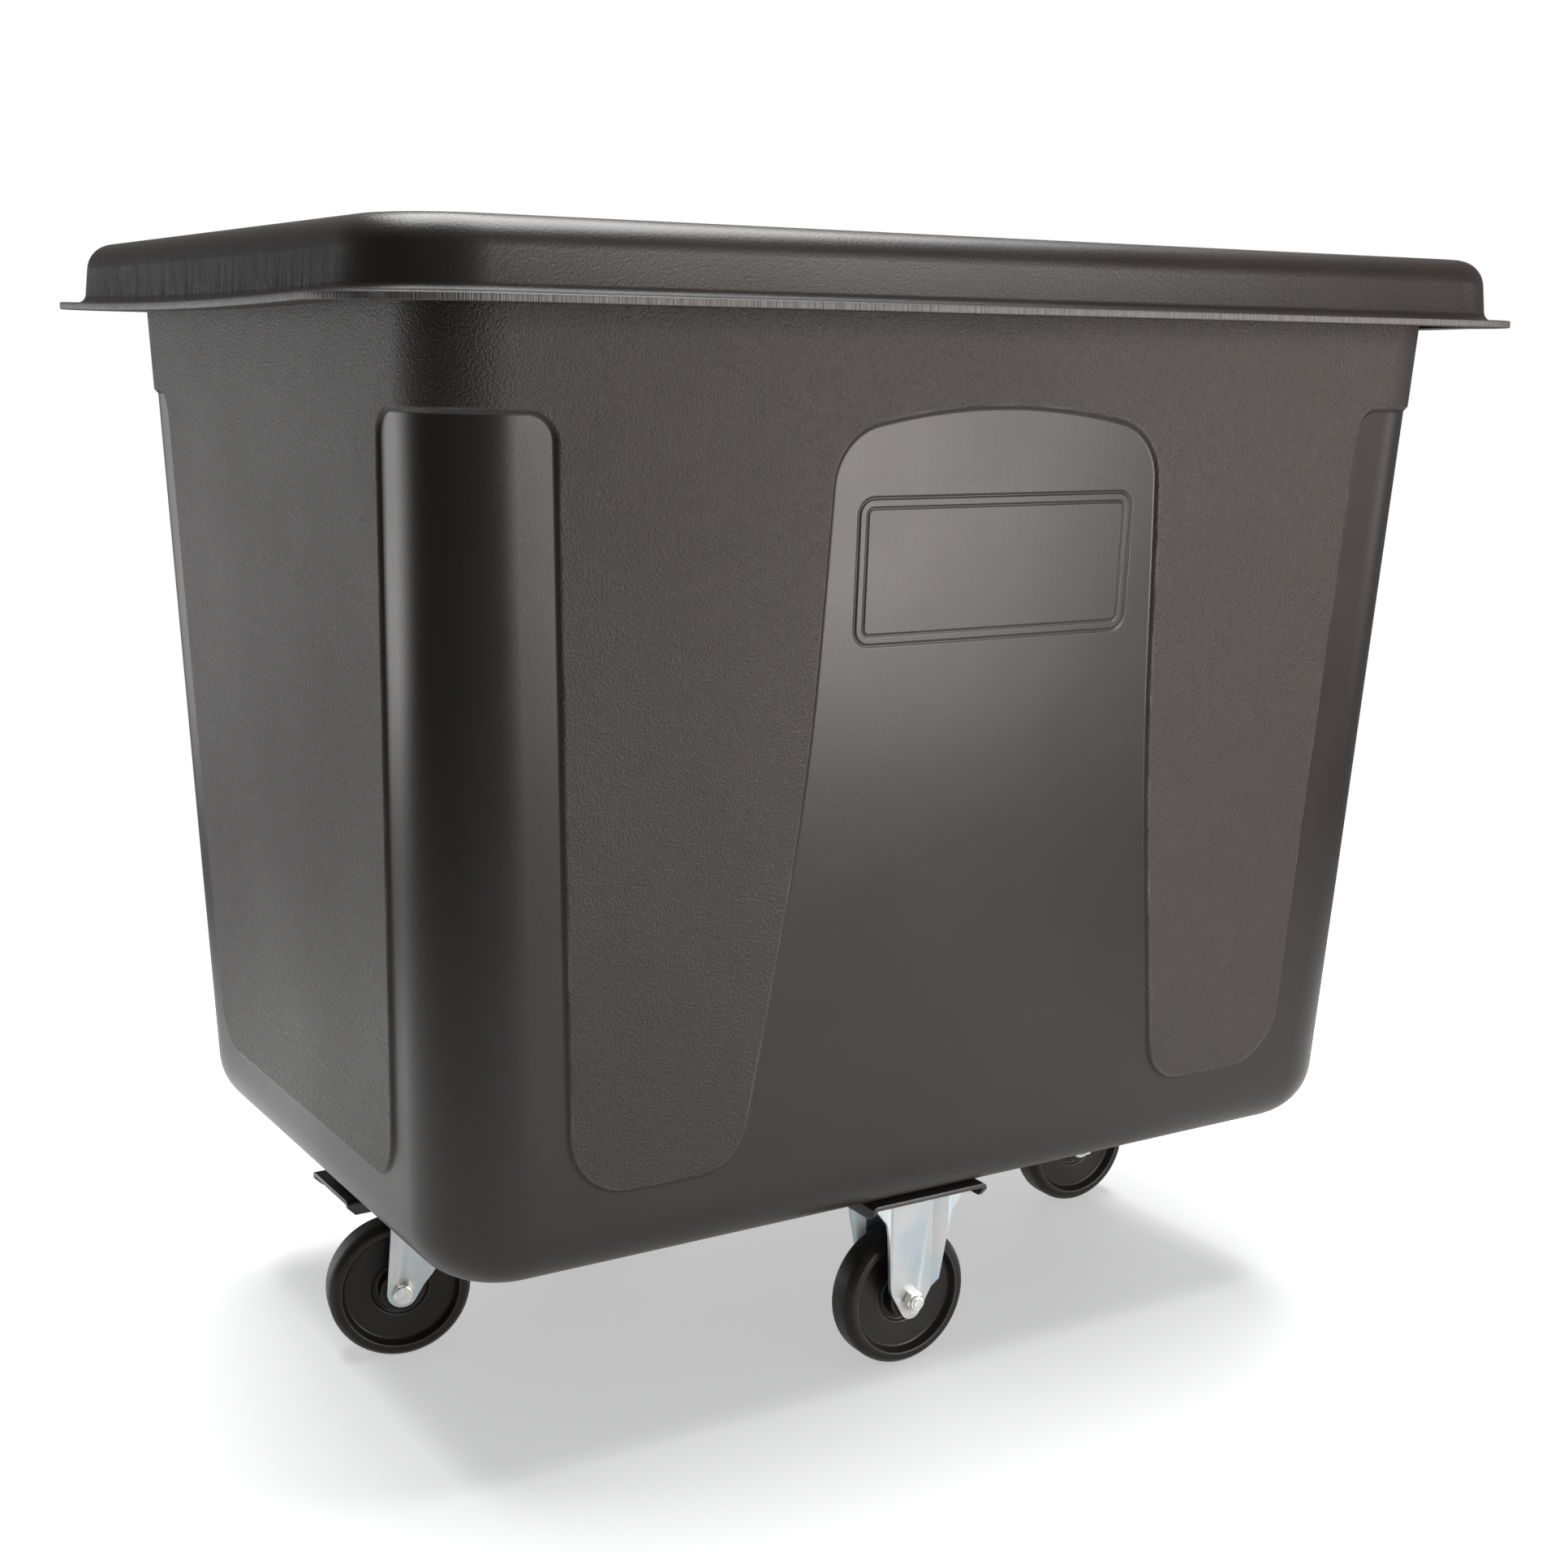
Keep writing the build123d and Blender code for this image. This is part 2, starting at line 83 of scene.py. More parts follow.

# %% [markdown]
# ## Camera
# The truck is seen from its front left corner, from just under rim height, so
# that the rim almost hides the inside. The camera's place is given, and its
# heading, tilt and lean are three turns, applied one after another. A long
# lens keeps the upright lines calm.

# %% Camera
camera_place = Vector((-1.0663, -1.7475, 0.8868))
heading, tilt, lean = (math.radians(a) for a in (31.747, -11.065, 0.787))
lens_length, sensor_width = 50.59, 36.0

ahead = Vector((math.sin(heading) * math.cos(tilt), math.cos(heading) * math.cos(tilt), math.sin(tilt)))
right = Vector((math.cos(heading), -math.sin(heading), 0))
up = right.cross(ahead)
leaned_right = math.cos(lean) * right + math.sin(lean) * up
leaned_up = math.cos(lean) * up - math.sin(lean) * right

camera_data = bpy.data.cameras.new("camera")
camera_data.lens = lens_length
camera_data.sensor_width = sensor_width
camera = bpy.data.objects.new("camera", camera_data)
scene.collection.objects.link(camera)
camera.matrix_world = Matrix.Translation(camera_place) @ Matrix(
    (leaned_right, leaned_up, -ahead)).transposed().to_4x4()
scene.camera = camera
print("camera at", tuple(round(v, 3) for v in camera_place))

# %% [markdown]
# ## Node graphs
# Lamps, floor, finishes and growing shapes are all described by small graphs
# of nodes. One class adds a node and feeds its inputs, either with a plain
# value or with the output of another node.

# %% Node graphs
class Graph:
    """A node tree, with a short way to add a node and feed its inputs."""

    def __init__(self, tree):
        self.tree = tree

    def feed(self, node, socket, value):
        if isinstance(value, bpy.types.NodeSocket):
            self.tree.links.new(value, node.inputs[socket])
        else:
            node.inputs[socket].default_value = value

    def node(self, kind, settings=None, **inputs):
        """A new node; keyword names are socket names with _ for a space."""
        made = self.tree.nodes.new(kind)
        for key, value in (settings or {}).items():
            setattr(made, key, value)
        for socket, value in inputs.items():
            self.feed(made, socket.replace("_", " "), value)
        return made

    def fed(self, kind, settings, *values):
        """The first output of a new node whose first inputs are fed in order."""
        made = self.node(kind, settings)
        for socket, value in enumerate(values):
            self.feed(made, socket, value)
        return made.outputs[0]


print("graph helper ready")

# %% [markdown]
# ## Light and floor
# Dark plastic shows almost nothing of its own colour. What the eye reads is
# what it mirrors, so the lamps are placed for their reflections: a tall one
# on the right in front of the long wall, a fainter one farther right for the
# end of that wall, one behind on the left for the short wall, a faint one
# behind the far corner, and a wide one overhead for the floor. Nothing bright
# stands behind the camera, which leaves the rounded corner dark. The floor is
# a pale disc that fades out, so that it has no visible edge.

# %% Light and floor
def softbox(name, place, target, width, height, radiance, tint=(1, 1, 1)):
    """A rectangular lamp at place, facing target, as bright as radiance all over."""
    lamp = bpy.data.lights.new(name, "AREA")
    lamp.shape = "RECTANGLE"
    lamp.size, lamp.size_y = width, height
    lamp.energy = radiance * 4 * width * height
    lamp.color = tint
    obj = bpy.data.objects.new(name, lamp)
    scene.collection.objects.link(obj)
    obj.location = place
    obj.rotation_euler = (Vector(target) - Vector(place)).to_track_quat("-Z", "Y").to_euler()
    obj.visible_camera = False


softbox("overhead", (0.1, 0.2, 3.2), (0, 0, 0), 2.6, 2.3, 9.8)
softbox("right_wall_light", (0.79, -1.95, 0.78), (0.38, 0, 0.72), 0.90, 1.30, 13.0, (1.0, 0.95, 0.915))
softbox("far_right_light", (2.9, -1.5, 0.75), (0.5, -0.3, 0.6), 0.8, 1.2, 3.0, (1.0, 0.95, 0.94))
softbox("left_wall_light", (-1.85, 1.9, 0.55), (-0.45, -0.1, 0.5), 1.9, 1.0, 2.5, (1.0, 0.985, 0.98))
softbox("rear_light", (2.4, 2.4, 1.3), (0, 0, 0.5), 1.4, 1.4, 1.8)

world = bpy.data.worlds.new("studio")
scene.world = world
world.use_nodes = True
sky = Graph(world.node_tree)
sky.tree.nodes.clear()
room = sky.node("ShaderNodeBackground", Color=(0.95, 0.97, 1.0, 1), Strength=0.2)
paper = sky.node("ShaderNodeBackground", Color=(1, 1, 1, 1))
seen = sky.node("ShaderNodeLightPath").outputs["Is Camera Ray"]
backdrop = sky.fed("ShaderNodeMixShader", None, seen, room.outputs[0], paper.outputs[0])
sky.node("ShaderNodeOutputWorld", Surface=backdrop)
scene.view_settings.view_transform = "Standard"

floor_radius, floor_fade_start, floor_fade_end = 2.4, 0.8, 2.0
floor_colour, floor_glow = (0.82, 0.82, 0.82, 1), 0.47
floor_mesh = bpy.data.meshes.new("floor")
floor_shape = bmesh.new()
bmesh.ops.create_circle(floor_shape, cap_ends=True, segments=96, radius=floor_radius)
floor_shape.to_mesh(floor_mesh)
floor_shape.free()
floor = bpy.data.objects.new("floor", floor_mesh)
scene.collection.objects.link(floor)
floor_paint = bpy.data.materials.new("pale_floor")
floor_paint.use_nodes = True
coat = Graph(floor_paint.node_tree)
coat.tree.nodes.clear()
distance = coat.node("ShaderNodeVectorMath", {"operation": "LENGTH"})
coat.feed(distance, 0, coat.node("ShaderNodeTexCoord").outputs["Object"])
fade = coat.node("ShaderNodeMapRange", {"interpolation_type": "SMOOTHSTEP"},
                 Value=distance.outputs["Value"], From_Min=floor_fade_start, From_Max=floor_fade_end)
matt = coat.node("ShaderNodeBsdfDiffuse", Color=floor_colour)
glow = coat.node("ShaderNodeEmission", Strength=floor_glow)
clear = coat.node("ShaderNodeBsdfTransparent")
lit = coat.fed("ShaderNodeAddShader", None, matt.outputs[0], glow.outputs[0])
faded = coat.fed("ShaderNodeMixShader", None, fade.outputs["Result"], lit, clear.outputs[0])
coat.node("ShaderNodeOutputMaterial", Surface=faded)
floor_mesh.materials.append(floor_paint)

# The wall lights would burn out the floor beside them, so they skip it.
skipped = bpy.data.collections.new("skipped_by_wall_lights")
skipped.objects.link(floor)
skipped.collection_objects[0].light_linking.link_state = "EXCLUDE"
for name in ("right_wall_light", "far_right_light", "left_wall_light"):
    scene.objects[name].light_linking.receiver_collection = skipped

# %% [markdown]
# ## Surface recipes
# Each finish is a small node graph round one Principled shader. Three things
# make a plain colour look real: the colour drifts a little, the shine is not
# even, and the surface has relief. A few helpers add those three, so that
# every recipe below stays short.

# %% Recipe helpers
class Recipe(Graph):
    """A node graph round a Principled shader, driven by Object coordinates."""

    def __init__(self, name, base, roughness, metallic=0.0, specular=0.5):
        self.material = bpy.data.materials.new(name)
        self.material.use_nodes = True
        super().__init__(self.material.node_tree)
        self.shader = self.tree.nodes["Principled BSDF"]
        for socket, value in (("Base Color", (*base, 1)), ("Roughness", roughness),
                              ("Metallic", metallic), ("Specular IOR Level", specular)):
            self.feed(self.shader, socket, value)
        self.place = self.node("ShaderNodeTexCoord").outputs["Object"]
        self.relief = None

    def stretched(self, scale):
        return self.node("ShaderNodeMapping", Scale=scale, Vector=self.place).outputs["Vector"]

    def noise(self, scale, detail=3.0, rough=0.55, where=None):
        """Cloudy noise from 0 to 1, scale in cells per metre."""
        made = self.node("ShaderNodeTexNoise", Scale=scale, Detail=detail, Roughness=rough,
                         Vector=where or self.place)
        return made.outputs["Fac"]

    def pebbles(self, scale):
        """Rounded cells, scale in cells per metre."""
        made = self.node("ShaderNodeTexVoronoi", {"feature": "SMOOTH_F1"}, Scale=scale, Vector=self.place)
        return made.outputs["Distance"]

    def painted(self, name):
        """A number stored on the mesh's points or faces."""
        return self.node("ShaderNodeAttribute", {"attribute_name": name}).outputs["Fac"]

    def spread(self, value, low, high, out_low=0.0, out_high=1.0):
        """The range from low to high, stretched to the range from out_low to out_high."""
        made = self.node("ShaderNodeMapRange", Value=value, From_Min=low, From_Max=high,
                         To_Min=out_low, To_Max=out_high)
        return made.outputs["Result"]

    def sum(self, a, b):
        return self.fed("ShaderNodeMath", {"operation": "ADD"}, a, b)

    def times(self, a, b):
        return self.fed("ShaderNodeMath", {"operation": "MULTIPLY"}, a, b)

    def blend(self, share, first, second):
        """A colour that goes from first to second as share goes from 0 to 1."""
        made = self.node("ShaderNodeMix", {"data_type": "RGBA"})
        for index, value in ((0, share), (6, first), (7, second)):
            self.feed(made, index, (*value, 1) if isinstance(value, tuple) else value)
        return made.outputs[2]

    def colour(self, value):
        self.feed(self.shader, "Base Color", value)

    def shine(self, value):
        self.feed(self.shader, "Roughness", value)

    def bump(self, height, depth, strength=1.0):
        """Adds relief of this depth in metres on top of what is there."""
        made = self.node("ShaderNodeBump", Height=height, Distance=depth, Strength=strength)
        if self.relief is not None:
            self.feed(made, "Normal", self.relief)
        self.relief = made.outputs["Normal"]
        self.feed(self.shader, "Normal", self.relief)


print("recipe helpers ready")

# %% [markdown]
# ## Moulded tub plastic
# The mould was etched, so the raised parts of the walls carry a fine leather
# grain that scatters light and looks greyer, while the posts, the middle
# panel and the foot are smoother and darker. The mesh stores where each is,
# in a number called grain. Four more numbers say the rest: one marks the upper
# edge of each step, which is painted lighter, partly as polished wear and partly
# as a painted highlight; cut marks the sawn edge of the lip, run is the way along
# that edge for its saw marks, and ripple says where the rim's short sides are wavy.

# %% Tub plastic
def tub_plastic():
    r = Recipe("moulded_tub_plastic", (0.012, 0.010, 0.009), 0.40, specular=0.32)
    saw_marks_per_metre = 700.0
    grain, wear, cut = r.painted("grain"), r.painted("wear"), r.painted("cut")
    clouds = r.noise(5.0, 4.0, 0.6)
    drift = r.noise(28.0, 5.0, 0.6)
    dark = r.blend(clouds, (0.0075, 0.0055, 0.0042), (0.0120, 0.0090, 0.0071))
    grey = r.blend(drift, (0.0130, 0.0098, 0.0078), (0.0185, 0.0145, 0.0120))
    body = r.blend(grain, dark, grey)
    # Upper step edges painted lighter: partly polished wear, partly a painted highlight.
    rubbed_and_highlit = r.blend(r.times(wear, r.spread(drift, 0.35, 0.7)), body, (0.060, 0.055, 0.052))
    marks_node = r.node("ShaderNodeTexNoise", {"noise_dimensions": "1D"}, Scale=1.0, Detail=2.0)
    r.feed(marks_node, "W", r.times(r.painted("run"), saw_marks_per_metre))
    marks = marks_node.outputs["Fac"]
    sawn = r.blend(r.spread(marks, 0.35, 0.65), (0.040, 0.037, 0.036), (0.085, 0.081, 0.079))
    r.colour(r.blend(cut, rubbed_and_highlit, sawn))
    satin = r.spread(r.sum(clouds, r.noise(2.2, 2.0)), 0.6, 1.4, -0.06, 0.07)
    speckle = r.spread(r.noise(640.0, 2.0), 0.3, 0.7, -1.0, 1.0)
    uneven = r.sum(satin, r.times(speckle, r.spread(grain, 0.0, 1.0, 0.02, 0.10)))
    r.shine(r.sum(r.spread(grain, 0.0, 1.0, 0.38, 0.45), uneven))
    leather = r.sum(r.pebbles(560.0), r.noise(620.0, 4.0, 0.7))
    r.bump(leather, r.spread(grain, 0.0, 1.0, 0.00004, 0.00070), 0.9)
    r.bump(r.noise(8.0, 1.5), 0.0009, 0.5)
    ripples = r.noise(1.0, 3.0, 0.6, r.stretched((60, 60, 14)))
    r.bump(r.times(ripples, r.painted("ripple")), 0.0045, 0.9)
    r.bump(r.times(marks, cut), 0.0008, 0.8)
    return r.material


# %% [markdown]
# ## Channel paint
# The channels are folded from hot rolled plate and dipped in black paint. The
# paint is satin with a faint orange peel, thin and chipped along the sheared
# edges, where bare steel shows. The mesh marks those edges.

# %% Channel paint
def channel_paint():
    r = Recipe("black_channel_paint", (0.012, 0.012, 0.012), 0.36)
    chips = r.spread(r.noise(160.0, 5.0, 0.7), 0.46, 0.56)
    dust = r.noise(14.0, 4.0)
    paint = r.blend(dust, (0.006, 0.006, 0.0062), (0.014, 0.0135, 0.013))
    bare = r.times(r.painted("edge"), chips)
    r.colour(r.blend(bare, paint, (0.20, 0.185, 0.165)))
    r.shine(r.sum(r.spread(dust, 0.3, 0.7, 0.28, 0.46), r.times(bare, 0.1)))
    r.bump(r.noise(330.0, 2.0), 0.00012, 0.5)
    r.bump(bare, 0.00008, 0.6)
    return r.material


# %% [markdown]
# ## Zinc plate
# The forks are pressed from sheet and dipped in clear blue zinc. It is a
# bright, slightly milky metal: the rolling lines of the sheet show faintly,
# and thin colour clouds run from blue to straw. The small hardware has the
# same coat in a warmer tone, and the balls are plain oiled steel.

# %% Zinc plate, hardware and balls
def zinc_sheet():
    r = Recipe("blue_zinc_sheet", (0.88, 0.93, 0.95), 0.30, metallic=1.0)
    clouds = r.noise(26.0, 3.0, 0.6)
    tint = r.blend(r.spread(clouds, 0.35, 0.68), (0.47, 0.545, 0.585), (0.58, 0.575, 0.56))
    r.colour(r.blend(r.times(r.painted("edge"), 0.5), tint, (0.70, 0.73, 0.74)))
    rolled = r.noise(1.0, 4.0, 0.6, r.stretched((500, 500, 22)))
    r.shine(r.sum(r.spread(clouds, 0.3, 0.7, 0.36, 0.46), r.times(rolled, 0.10)))
    r.bump(rolled, 0.00004, 0.5)
    r.bump(r.noise(60.0, 2.0), 0.00022, 0.5)
    return r.material


def zinc_hardware():
    r = Recipe("zinc_hardware", (0.74, 0.73, 0.70), 0.26, metallic=1.0)
    spots = r.noise(190.0, 4.0, 0.6)
    r.colour(r.blend(r.spread(spots, 0.35, 0.7), (0.66, 0.66, 0.65), (0.82, 0.79, 0.72)))
    r.shine(r.spread(spots, 0.3, 0.7, 0.20, 0.38))
    r.bump(r.noise(900.0, 2.0), 0.00005, 0.5)
    return r.material


def bearing_steel():
    r = Recipe("bearing_steel", (0.56, 0.56, 0.57), 0.16, metallic=1.0)
    oil = r.noise(120.0, 3.0)
    r.colour(r.blend(oil, (0.44, 0.42, 0.39), (0.62, 0.62, 0.63)))
    r.shine(r.spread(oil, 0.3, 0.7, 0.12, 0.30))
    r.bump(r.noise(700.0, 2.0), 0.00003, 0.4)
    return r.material


# %% [markdown]
# ## Wheel plastic
# The wheels are moulded in one piece from hard brown-black plastic. The skin
# is satin and even, polished a little where the tread has rolled, and the
# crisp moulded edges are painted a little lighter, as a thin painted highlight.

# %% Wheel plastic and nylon
def wheel_plastic():
    r = Recipe("hard_wheel_plastic", (0.008, 0.007, 0.006), 0.40, specular=0.25)
    drift = r.noise(30.0, 4.0)
    edge, tread = r.painted("edge"), r.painted("tread")
    skin = r.blend(drift, (0.0050, 0.0042, 0.0036), (0.0085, 0.0071, 0.0062))
    dust = r.times(tread, r.spread(r.noise(90.0, 4.0), 0.45, 0.7))
    dusty = r.blend(dust, skin, (0.022, 0.020, 0.0185))
    # The crisp edges are painted lighter: a painted highlight line, not a colour of the plastic.
    r.colour(r.blend(r.times(edge, 0.6), dusty, (0.05, 0.045, 0.042)))
    r.shine(r.sum(r.spread(drift, 0.3, 0.7, 0.36, 0.46), r.times(tread, 0.06)))
    r.bump(r.noise(600.0, 3.0), 0.00008, 0.5)
    r.bump(r.times(r.noise(120.0, 4.0), tread), 0.0003, 0.4)
    return r.material


def nylon_insert():
    r = Recipe("nylon_insert", (0.62, 0.63, 0.60), 0.42)
    cloud = r.noise(250.0, 3.0)
    r.colour(r.blend(cloud, (0.55, 0.56, 0.54), (0.72, 0.72, 0.68)))
    r.shine(r.spread(cloud, 0.3, 0.7, 0.36, 0.50))
    r.bump(cloud, 0.00005, 0.4)
    return r.material


FINISH = {
    "tub_plastic": tub_plastic(),
    "channel_paint": channel_paint(),
    "zinc_sheet": zinc_sheet(),
    "zinc_hardware": zinc_hardware(),
    "bearing_steel": bearing_steel(),
    "wheel_plastic": wheel_plastic(),
}
NYLON = nylon_insert()
print("finishes:", sorted(FINISH))

# %% [markdown]
# ## Handing a piece to the frame
# A finished piece says three things: which body carries it, which finish it
# has, and which plain CAD nodes it stands for. One helper says
# all three, so that no piece forgets one.

# %% Handing over
def body_of(node):
    bodies = frame["record"]["behaviour"]["bodies"]
    return next(body for body, nodes in bodies.items() if node in nodes)


def make_object(name, mesh):
    obj = bpy.data.objects.new(name, mesh)
    scene.collection.objects.link(obj)
    return obj


def guide(name, points, edges=()):
    """A helper object of points and edges only, for a tree to grow from."""
    mesh = bpy.data.meshes.new(name)
    mesh.from_pydata(points, edges, [])
    return make_object(name, mesh)


def hand_over(obj, finish, *nodes):
    """Gives obj its finish and its body, and hides the nodes it stands for."""
    if not obj.data.materials:
        obj.data.materials.append(FINISH[finish])
    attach(obj, body_of(nodes[0]))
    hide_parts(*nodes)


def smooth(mesh, angle=None):
    mesh.polygons.foreach_set("use_smooth", [True] * len(mesh.polygons))
    if angle is not None:
        mesh.set_sharp_from_angle(angle=math.radians(angle))


def paint_mesh(mesh, name, values, domain="POINT"):
    """Stores a number on each point, or on each face, for a finish to read."""
    layer = mesh.attributes.new(name, "FLOAT", domain)
    layer.data.foreach_set("value", np.asarray(values, np.float32))


# %% [markdown]
# ## The tub: sizes
# The tub is a tapering box with rounded corners. Its walls are the same rule
# at every height: a half length, a half width and a corner radius, which grow
# evenly from the foot to the rim. The outer sizes come from the frame, and the
# rest are the mould's own sizes, measured in from the lip.

# %% Tub sizes
tub_low, tub_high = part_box("tub")
foot, top = tub_low.z, tub_high.z
rim_half_x, rim_half_y = tub_high.x, tub_high.y
rim_depth = 58 * mm
lip = top - rim_depth
wall = 5 * mm
step = 3.2 * mm
lean_x, lean_y = 23 * mm, 48 * mm
foot_half_x = rim_half_x - 74 * mm - lean_x
foot_half_y = rim_half_y - 65 * mm - lean_y
corner_foot, corner_lip = 75 * mm, 62 * mm
base_round = 54 * mm
lip_corner = 104 * mm
bow_depth = 9 * mm
print("foot half sizes:", round(foot_half_x, 4), round(foot_half_y, 4))


def share_at(z):
    return (z - foot) / (lip - foot)


def wall_at(z, out=0.0):
    """Half length, half width and corner radius of the wall at a height, moved out by out."""
    t = share_at(z)
    corner = corner_foot + (corner_lip - corner_foot) * t
    return foot_half_x + lean_x * t + out, foot_half_y + lean_y * t + out, corner + out


# %% [markdown]
# Every outline of the tub is sampled in the same way: 34 spans on a long
# wall, 24 on a short one and 16 round each corner. A sample is written as a
# number q that runs along one wall from the middle of a corner to the middle
# of the next. Because all outlines share these samples, any two of them can
# be joined with clean four-sided faces.
#
# Real walls of this size are never quite flat. The long walls swell outwards
# by a few millimetres, which the same placing function adds.

# %% Sampling round the tub
flat_end, corner_end = 0.405, 0.465      # q where the flat ends, and the middle of the corner
long_spans, short_spans, half_corner_spans = 34, 24, 8


def samples(kind):
    spans = long_spans if kind % 2 == 0 else short_spans
    flat = [flat_end * (2 * i / spans - 1) for i in range(spans + 1)]
    bend = [flat_end + (corner_end - flat_end) * i / half_corner_spans
            for i in range(1, half_corner_spans + 1)]
    return [-q for q in reversed(bend)] + flat + bend


def bow_at(share, z):
    """How far a long wall swells at a share of its flat and a height."""
    t = share_at(z)
    if not 0 < t < 1 or abs(share) >= 1:
        return 0.0
    return bow_depth * (1 - share * share) ** 1.5 * math.sin(math.pi * t ** 1.15) ** 0.8


def place(kind, q, z, half_x, half_y, corner, bow=True):
    """The point of wall kind (0 front, 1 right, 2 rear, 3 left) at sample q."""
    along, away = (half_x, half_y) if kind % 2 == 0 else (half_y, half_x)
    if abs(q) <= flat_end:
        across, out = (along - corner) * q / flat_end, away
        if bow and kind % 2 == 0:
            out += bow_at(q / flat_end, z)
    else:
        turn = math.radians(45) * (abs(q) - flat_end) / (corner_end - flat_end)
        across = math.copysign(along - corner + corner * math.sin(turn), q)
        out = away - corner + corner * math.cos(turn)
    return ((across, -out, z), (out, across, z), (-across, out, z), (-out, -across, z))[kind]


def ring(z, half_x, half_y, corner, bow=True):
    """A whole outline of the tub as a closed row of points."""
    return [place(kind, q, z, half_x, half_y, corner, bow) for kind in range(4) for q in samples(kind)[:-1]]


print("points in one outline:", len(ring(lip, *wall_at(lip))))

# %% [markdown]
# ## The rolled rim
# The rim is one section carried round one path: a flat lip, a small cove, a
# skirt that leans in a little, a round shoulder, and the same again 5 mm
# inside. That is what Geometry Nodes do best. The path is the lip's outline,
# the section is a second small object, and the tree sweeps one along the
# other. It also lets the lip sag a few millimetres on the short sides, where
# the real moulding relaxes as it cools. Sag, its reach and the height where
# it has died out are named inputs of the tree.

# %% The rim's section
def arc(cx, cy, radius, start, stop, steps=7):
    """Points on an arc, angles in degrees."""
    turns = [math.radians(start + (stop - start) * i / steps) for i in range(steps + 1)]
    return [(cx + radius * math.cos(t), cy + radius * math.sin(t)) for t in turns]


def rim_section():
    """(out from the lip's edge, height above its underside), in millimetres, from inside to outside."""
    overhang, flare, shoulder, thick = 22.0, 3.0, 24.0, wall / mm
    lip_thick, edge, cove, depth = 6.0, 0.9, 8.0, rim_depth / mm
    centre = (-overhang - flare - shoulder, depth - shoulder)
    inner = arc(*centre, shoulder - thick, 90, 4)
    outer = arc(*centre, shoulder, 4, 90, 10)
    under = arc(-overhang - thick + 0.6, 2.0, 2.0, 180, 270, 4)
    lower = arc(-edge, edge, edge, -90, 0, 3)
    upper = arc(-edge, lip_thick - edge, edge, 0, 90, 3)
    hollow = arc(-overhang - 0.8 + cove, lip_thick + cove, cove, -90, -172, 6)
    return inner + under + lower + upper + hollow + outer


section_points = rim_section()
section = guide(
    "rim_section", [(x * mm, -y * mm, 0) for x, y in section_points],
    [(i, i + 1) for i in range(len(section_points) - 1)])
print("section points:", len(section_points))

# %% A helper to build growing trees
class Tree(Graph):
    """A Geometry Nodes tree with named inputs and one geometry output."""

    def __init__(self, name, **inputs):
        super().__init__(bpy.data.node_groups.new(name, "GeometryNodeTree"))
        face = self.tree.interface
        face.new_socket("Geometry", in_out="INPUT", socket_type="NodeSocketGeometry")
        for label, kind in inputs.items():
            face.new_socket(label.replace("_", " "), in_out="INPUT", socket_type="NodeSocket" + kind)
        face.new_socket("Geometry", in_out="OUTPUT", socket_type="NodeSocketGeometry")
        self.given = self.node("NodeGroupInput").outputs

    def math(self, operation, first, second=0.0, clamp=False):
        return self.fed("ShaderNodeMath", {"operation": operation, "use_clamp": clamp}, first, second)

    def finish(self, geometry, finish):
        """Realize Instances, Set Material and the output, as the last nodes."""
        real = self.node("GeometryNodeRealizeInstances", Geometry=geometry)
        coated = self.node("GeometryNodeSetMaterial", Geometry=real.outputs[0], Material=FINISH[finish])
        self.node("NodeGroupOutput", Geometry=coated.outputs[0])
        return self.tree


def grown(base, group, **values):
    """The mesh that a tree makes from base, with its inputs set by identifier."""
    modifier = base.modifiers.new(group.name, "NODES")
    modifier.node_group = group
    for item in group.interface.items_tree:
        label = item.name.replace(" ", "_").lower()
        if item.item_type == "SOCKET" and item.in_out == "INPUT" and label in values:
            modifier[item.identifier] = values[label]
    bpy.context.view_layer.update()
    graph = bpy.context.evaluated_depsgraph_get()
    mesh = bpy.data.meshes.new_from_object(base.evaluated_get(graph))
    base.modifiers.remove(modifier)
    return mesh


# %% The rim's tree
def rim_tree():
    t = Tree("rolled_rim", Section="Object", Sag="Float", Sag_reach="Float", Sag_top="Float",
             Short_side="Float")
    path = t.node("GeometryNodeMeshToCurve", Mesh=t.given["Geometry"])
    upright = t.node("GeometryNodeSetCurveNormal", {"mode": "Z_UP"}, Curve=path.outputs[0])
    drawn = t.node("GeometryNodeObjectInfo", Object=t.given["Section"])
    profile = t.node("GeometryNodeMeshToCurve", Mesh=drawn.outputs["Geometry"])
    swept = t.node("GeometryNodeCurveToMesh", Curve=upright.outputs[0], Profile_Curve=profile.outputs[0])
    where = t.node("ShaderNodeSeparateXYZ", Vector=t.node("GeometryNodeInputPosition").outputs[0])
    x, y, z = where.outputs
    reached = t.math("DIVIDE", t.math("ABSOLUTE", y), t.given["Sag reach"])
    middle = t.math("SUBTRACT", 1.0, reached, clamp=True)
    beyond = t.math("GREATER_THAN", t.math("ABSOLUTE", x), t.given["Short side"])
    low = t.math("DIVIDE", t.math("SUBTRACT", t.given["Sag top"], z), rim_depth, clamp=True)
    eased = t.math("MULTIPLY", middle, t.math("SUBTRACT", 2.0, middle))
    drop = t.math("MULTIPLY", t.math("MULTIPLY", eased, low), t.given["Sag"])
    down = t.node("ShaderNodeCombineXYZ", Z=t.math("MULTIPLY", t.math("MULTIPLY", drop, beyond), -1.0))
    sagged = t.node("GeometryNodeSetPosition", Geometry=swept.outputs[0], Offset=down.outputs[0])
    return t.finish(sagged.outputs[0], "tub_plastic")


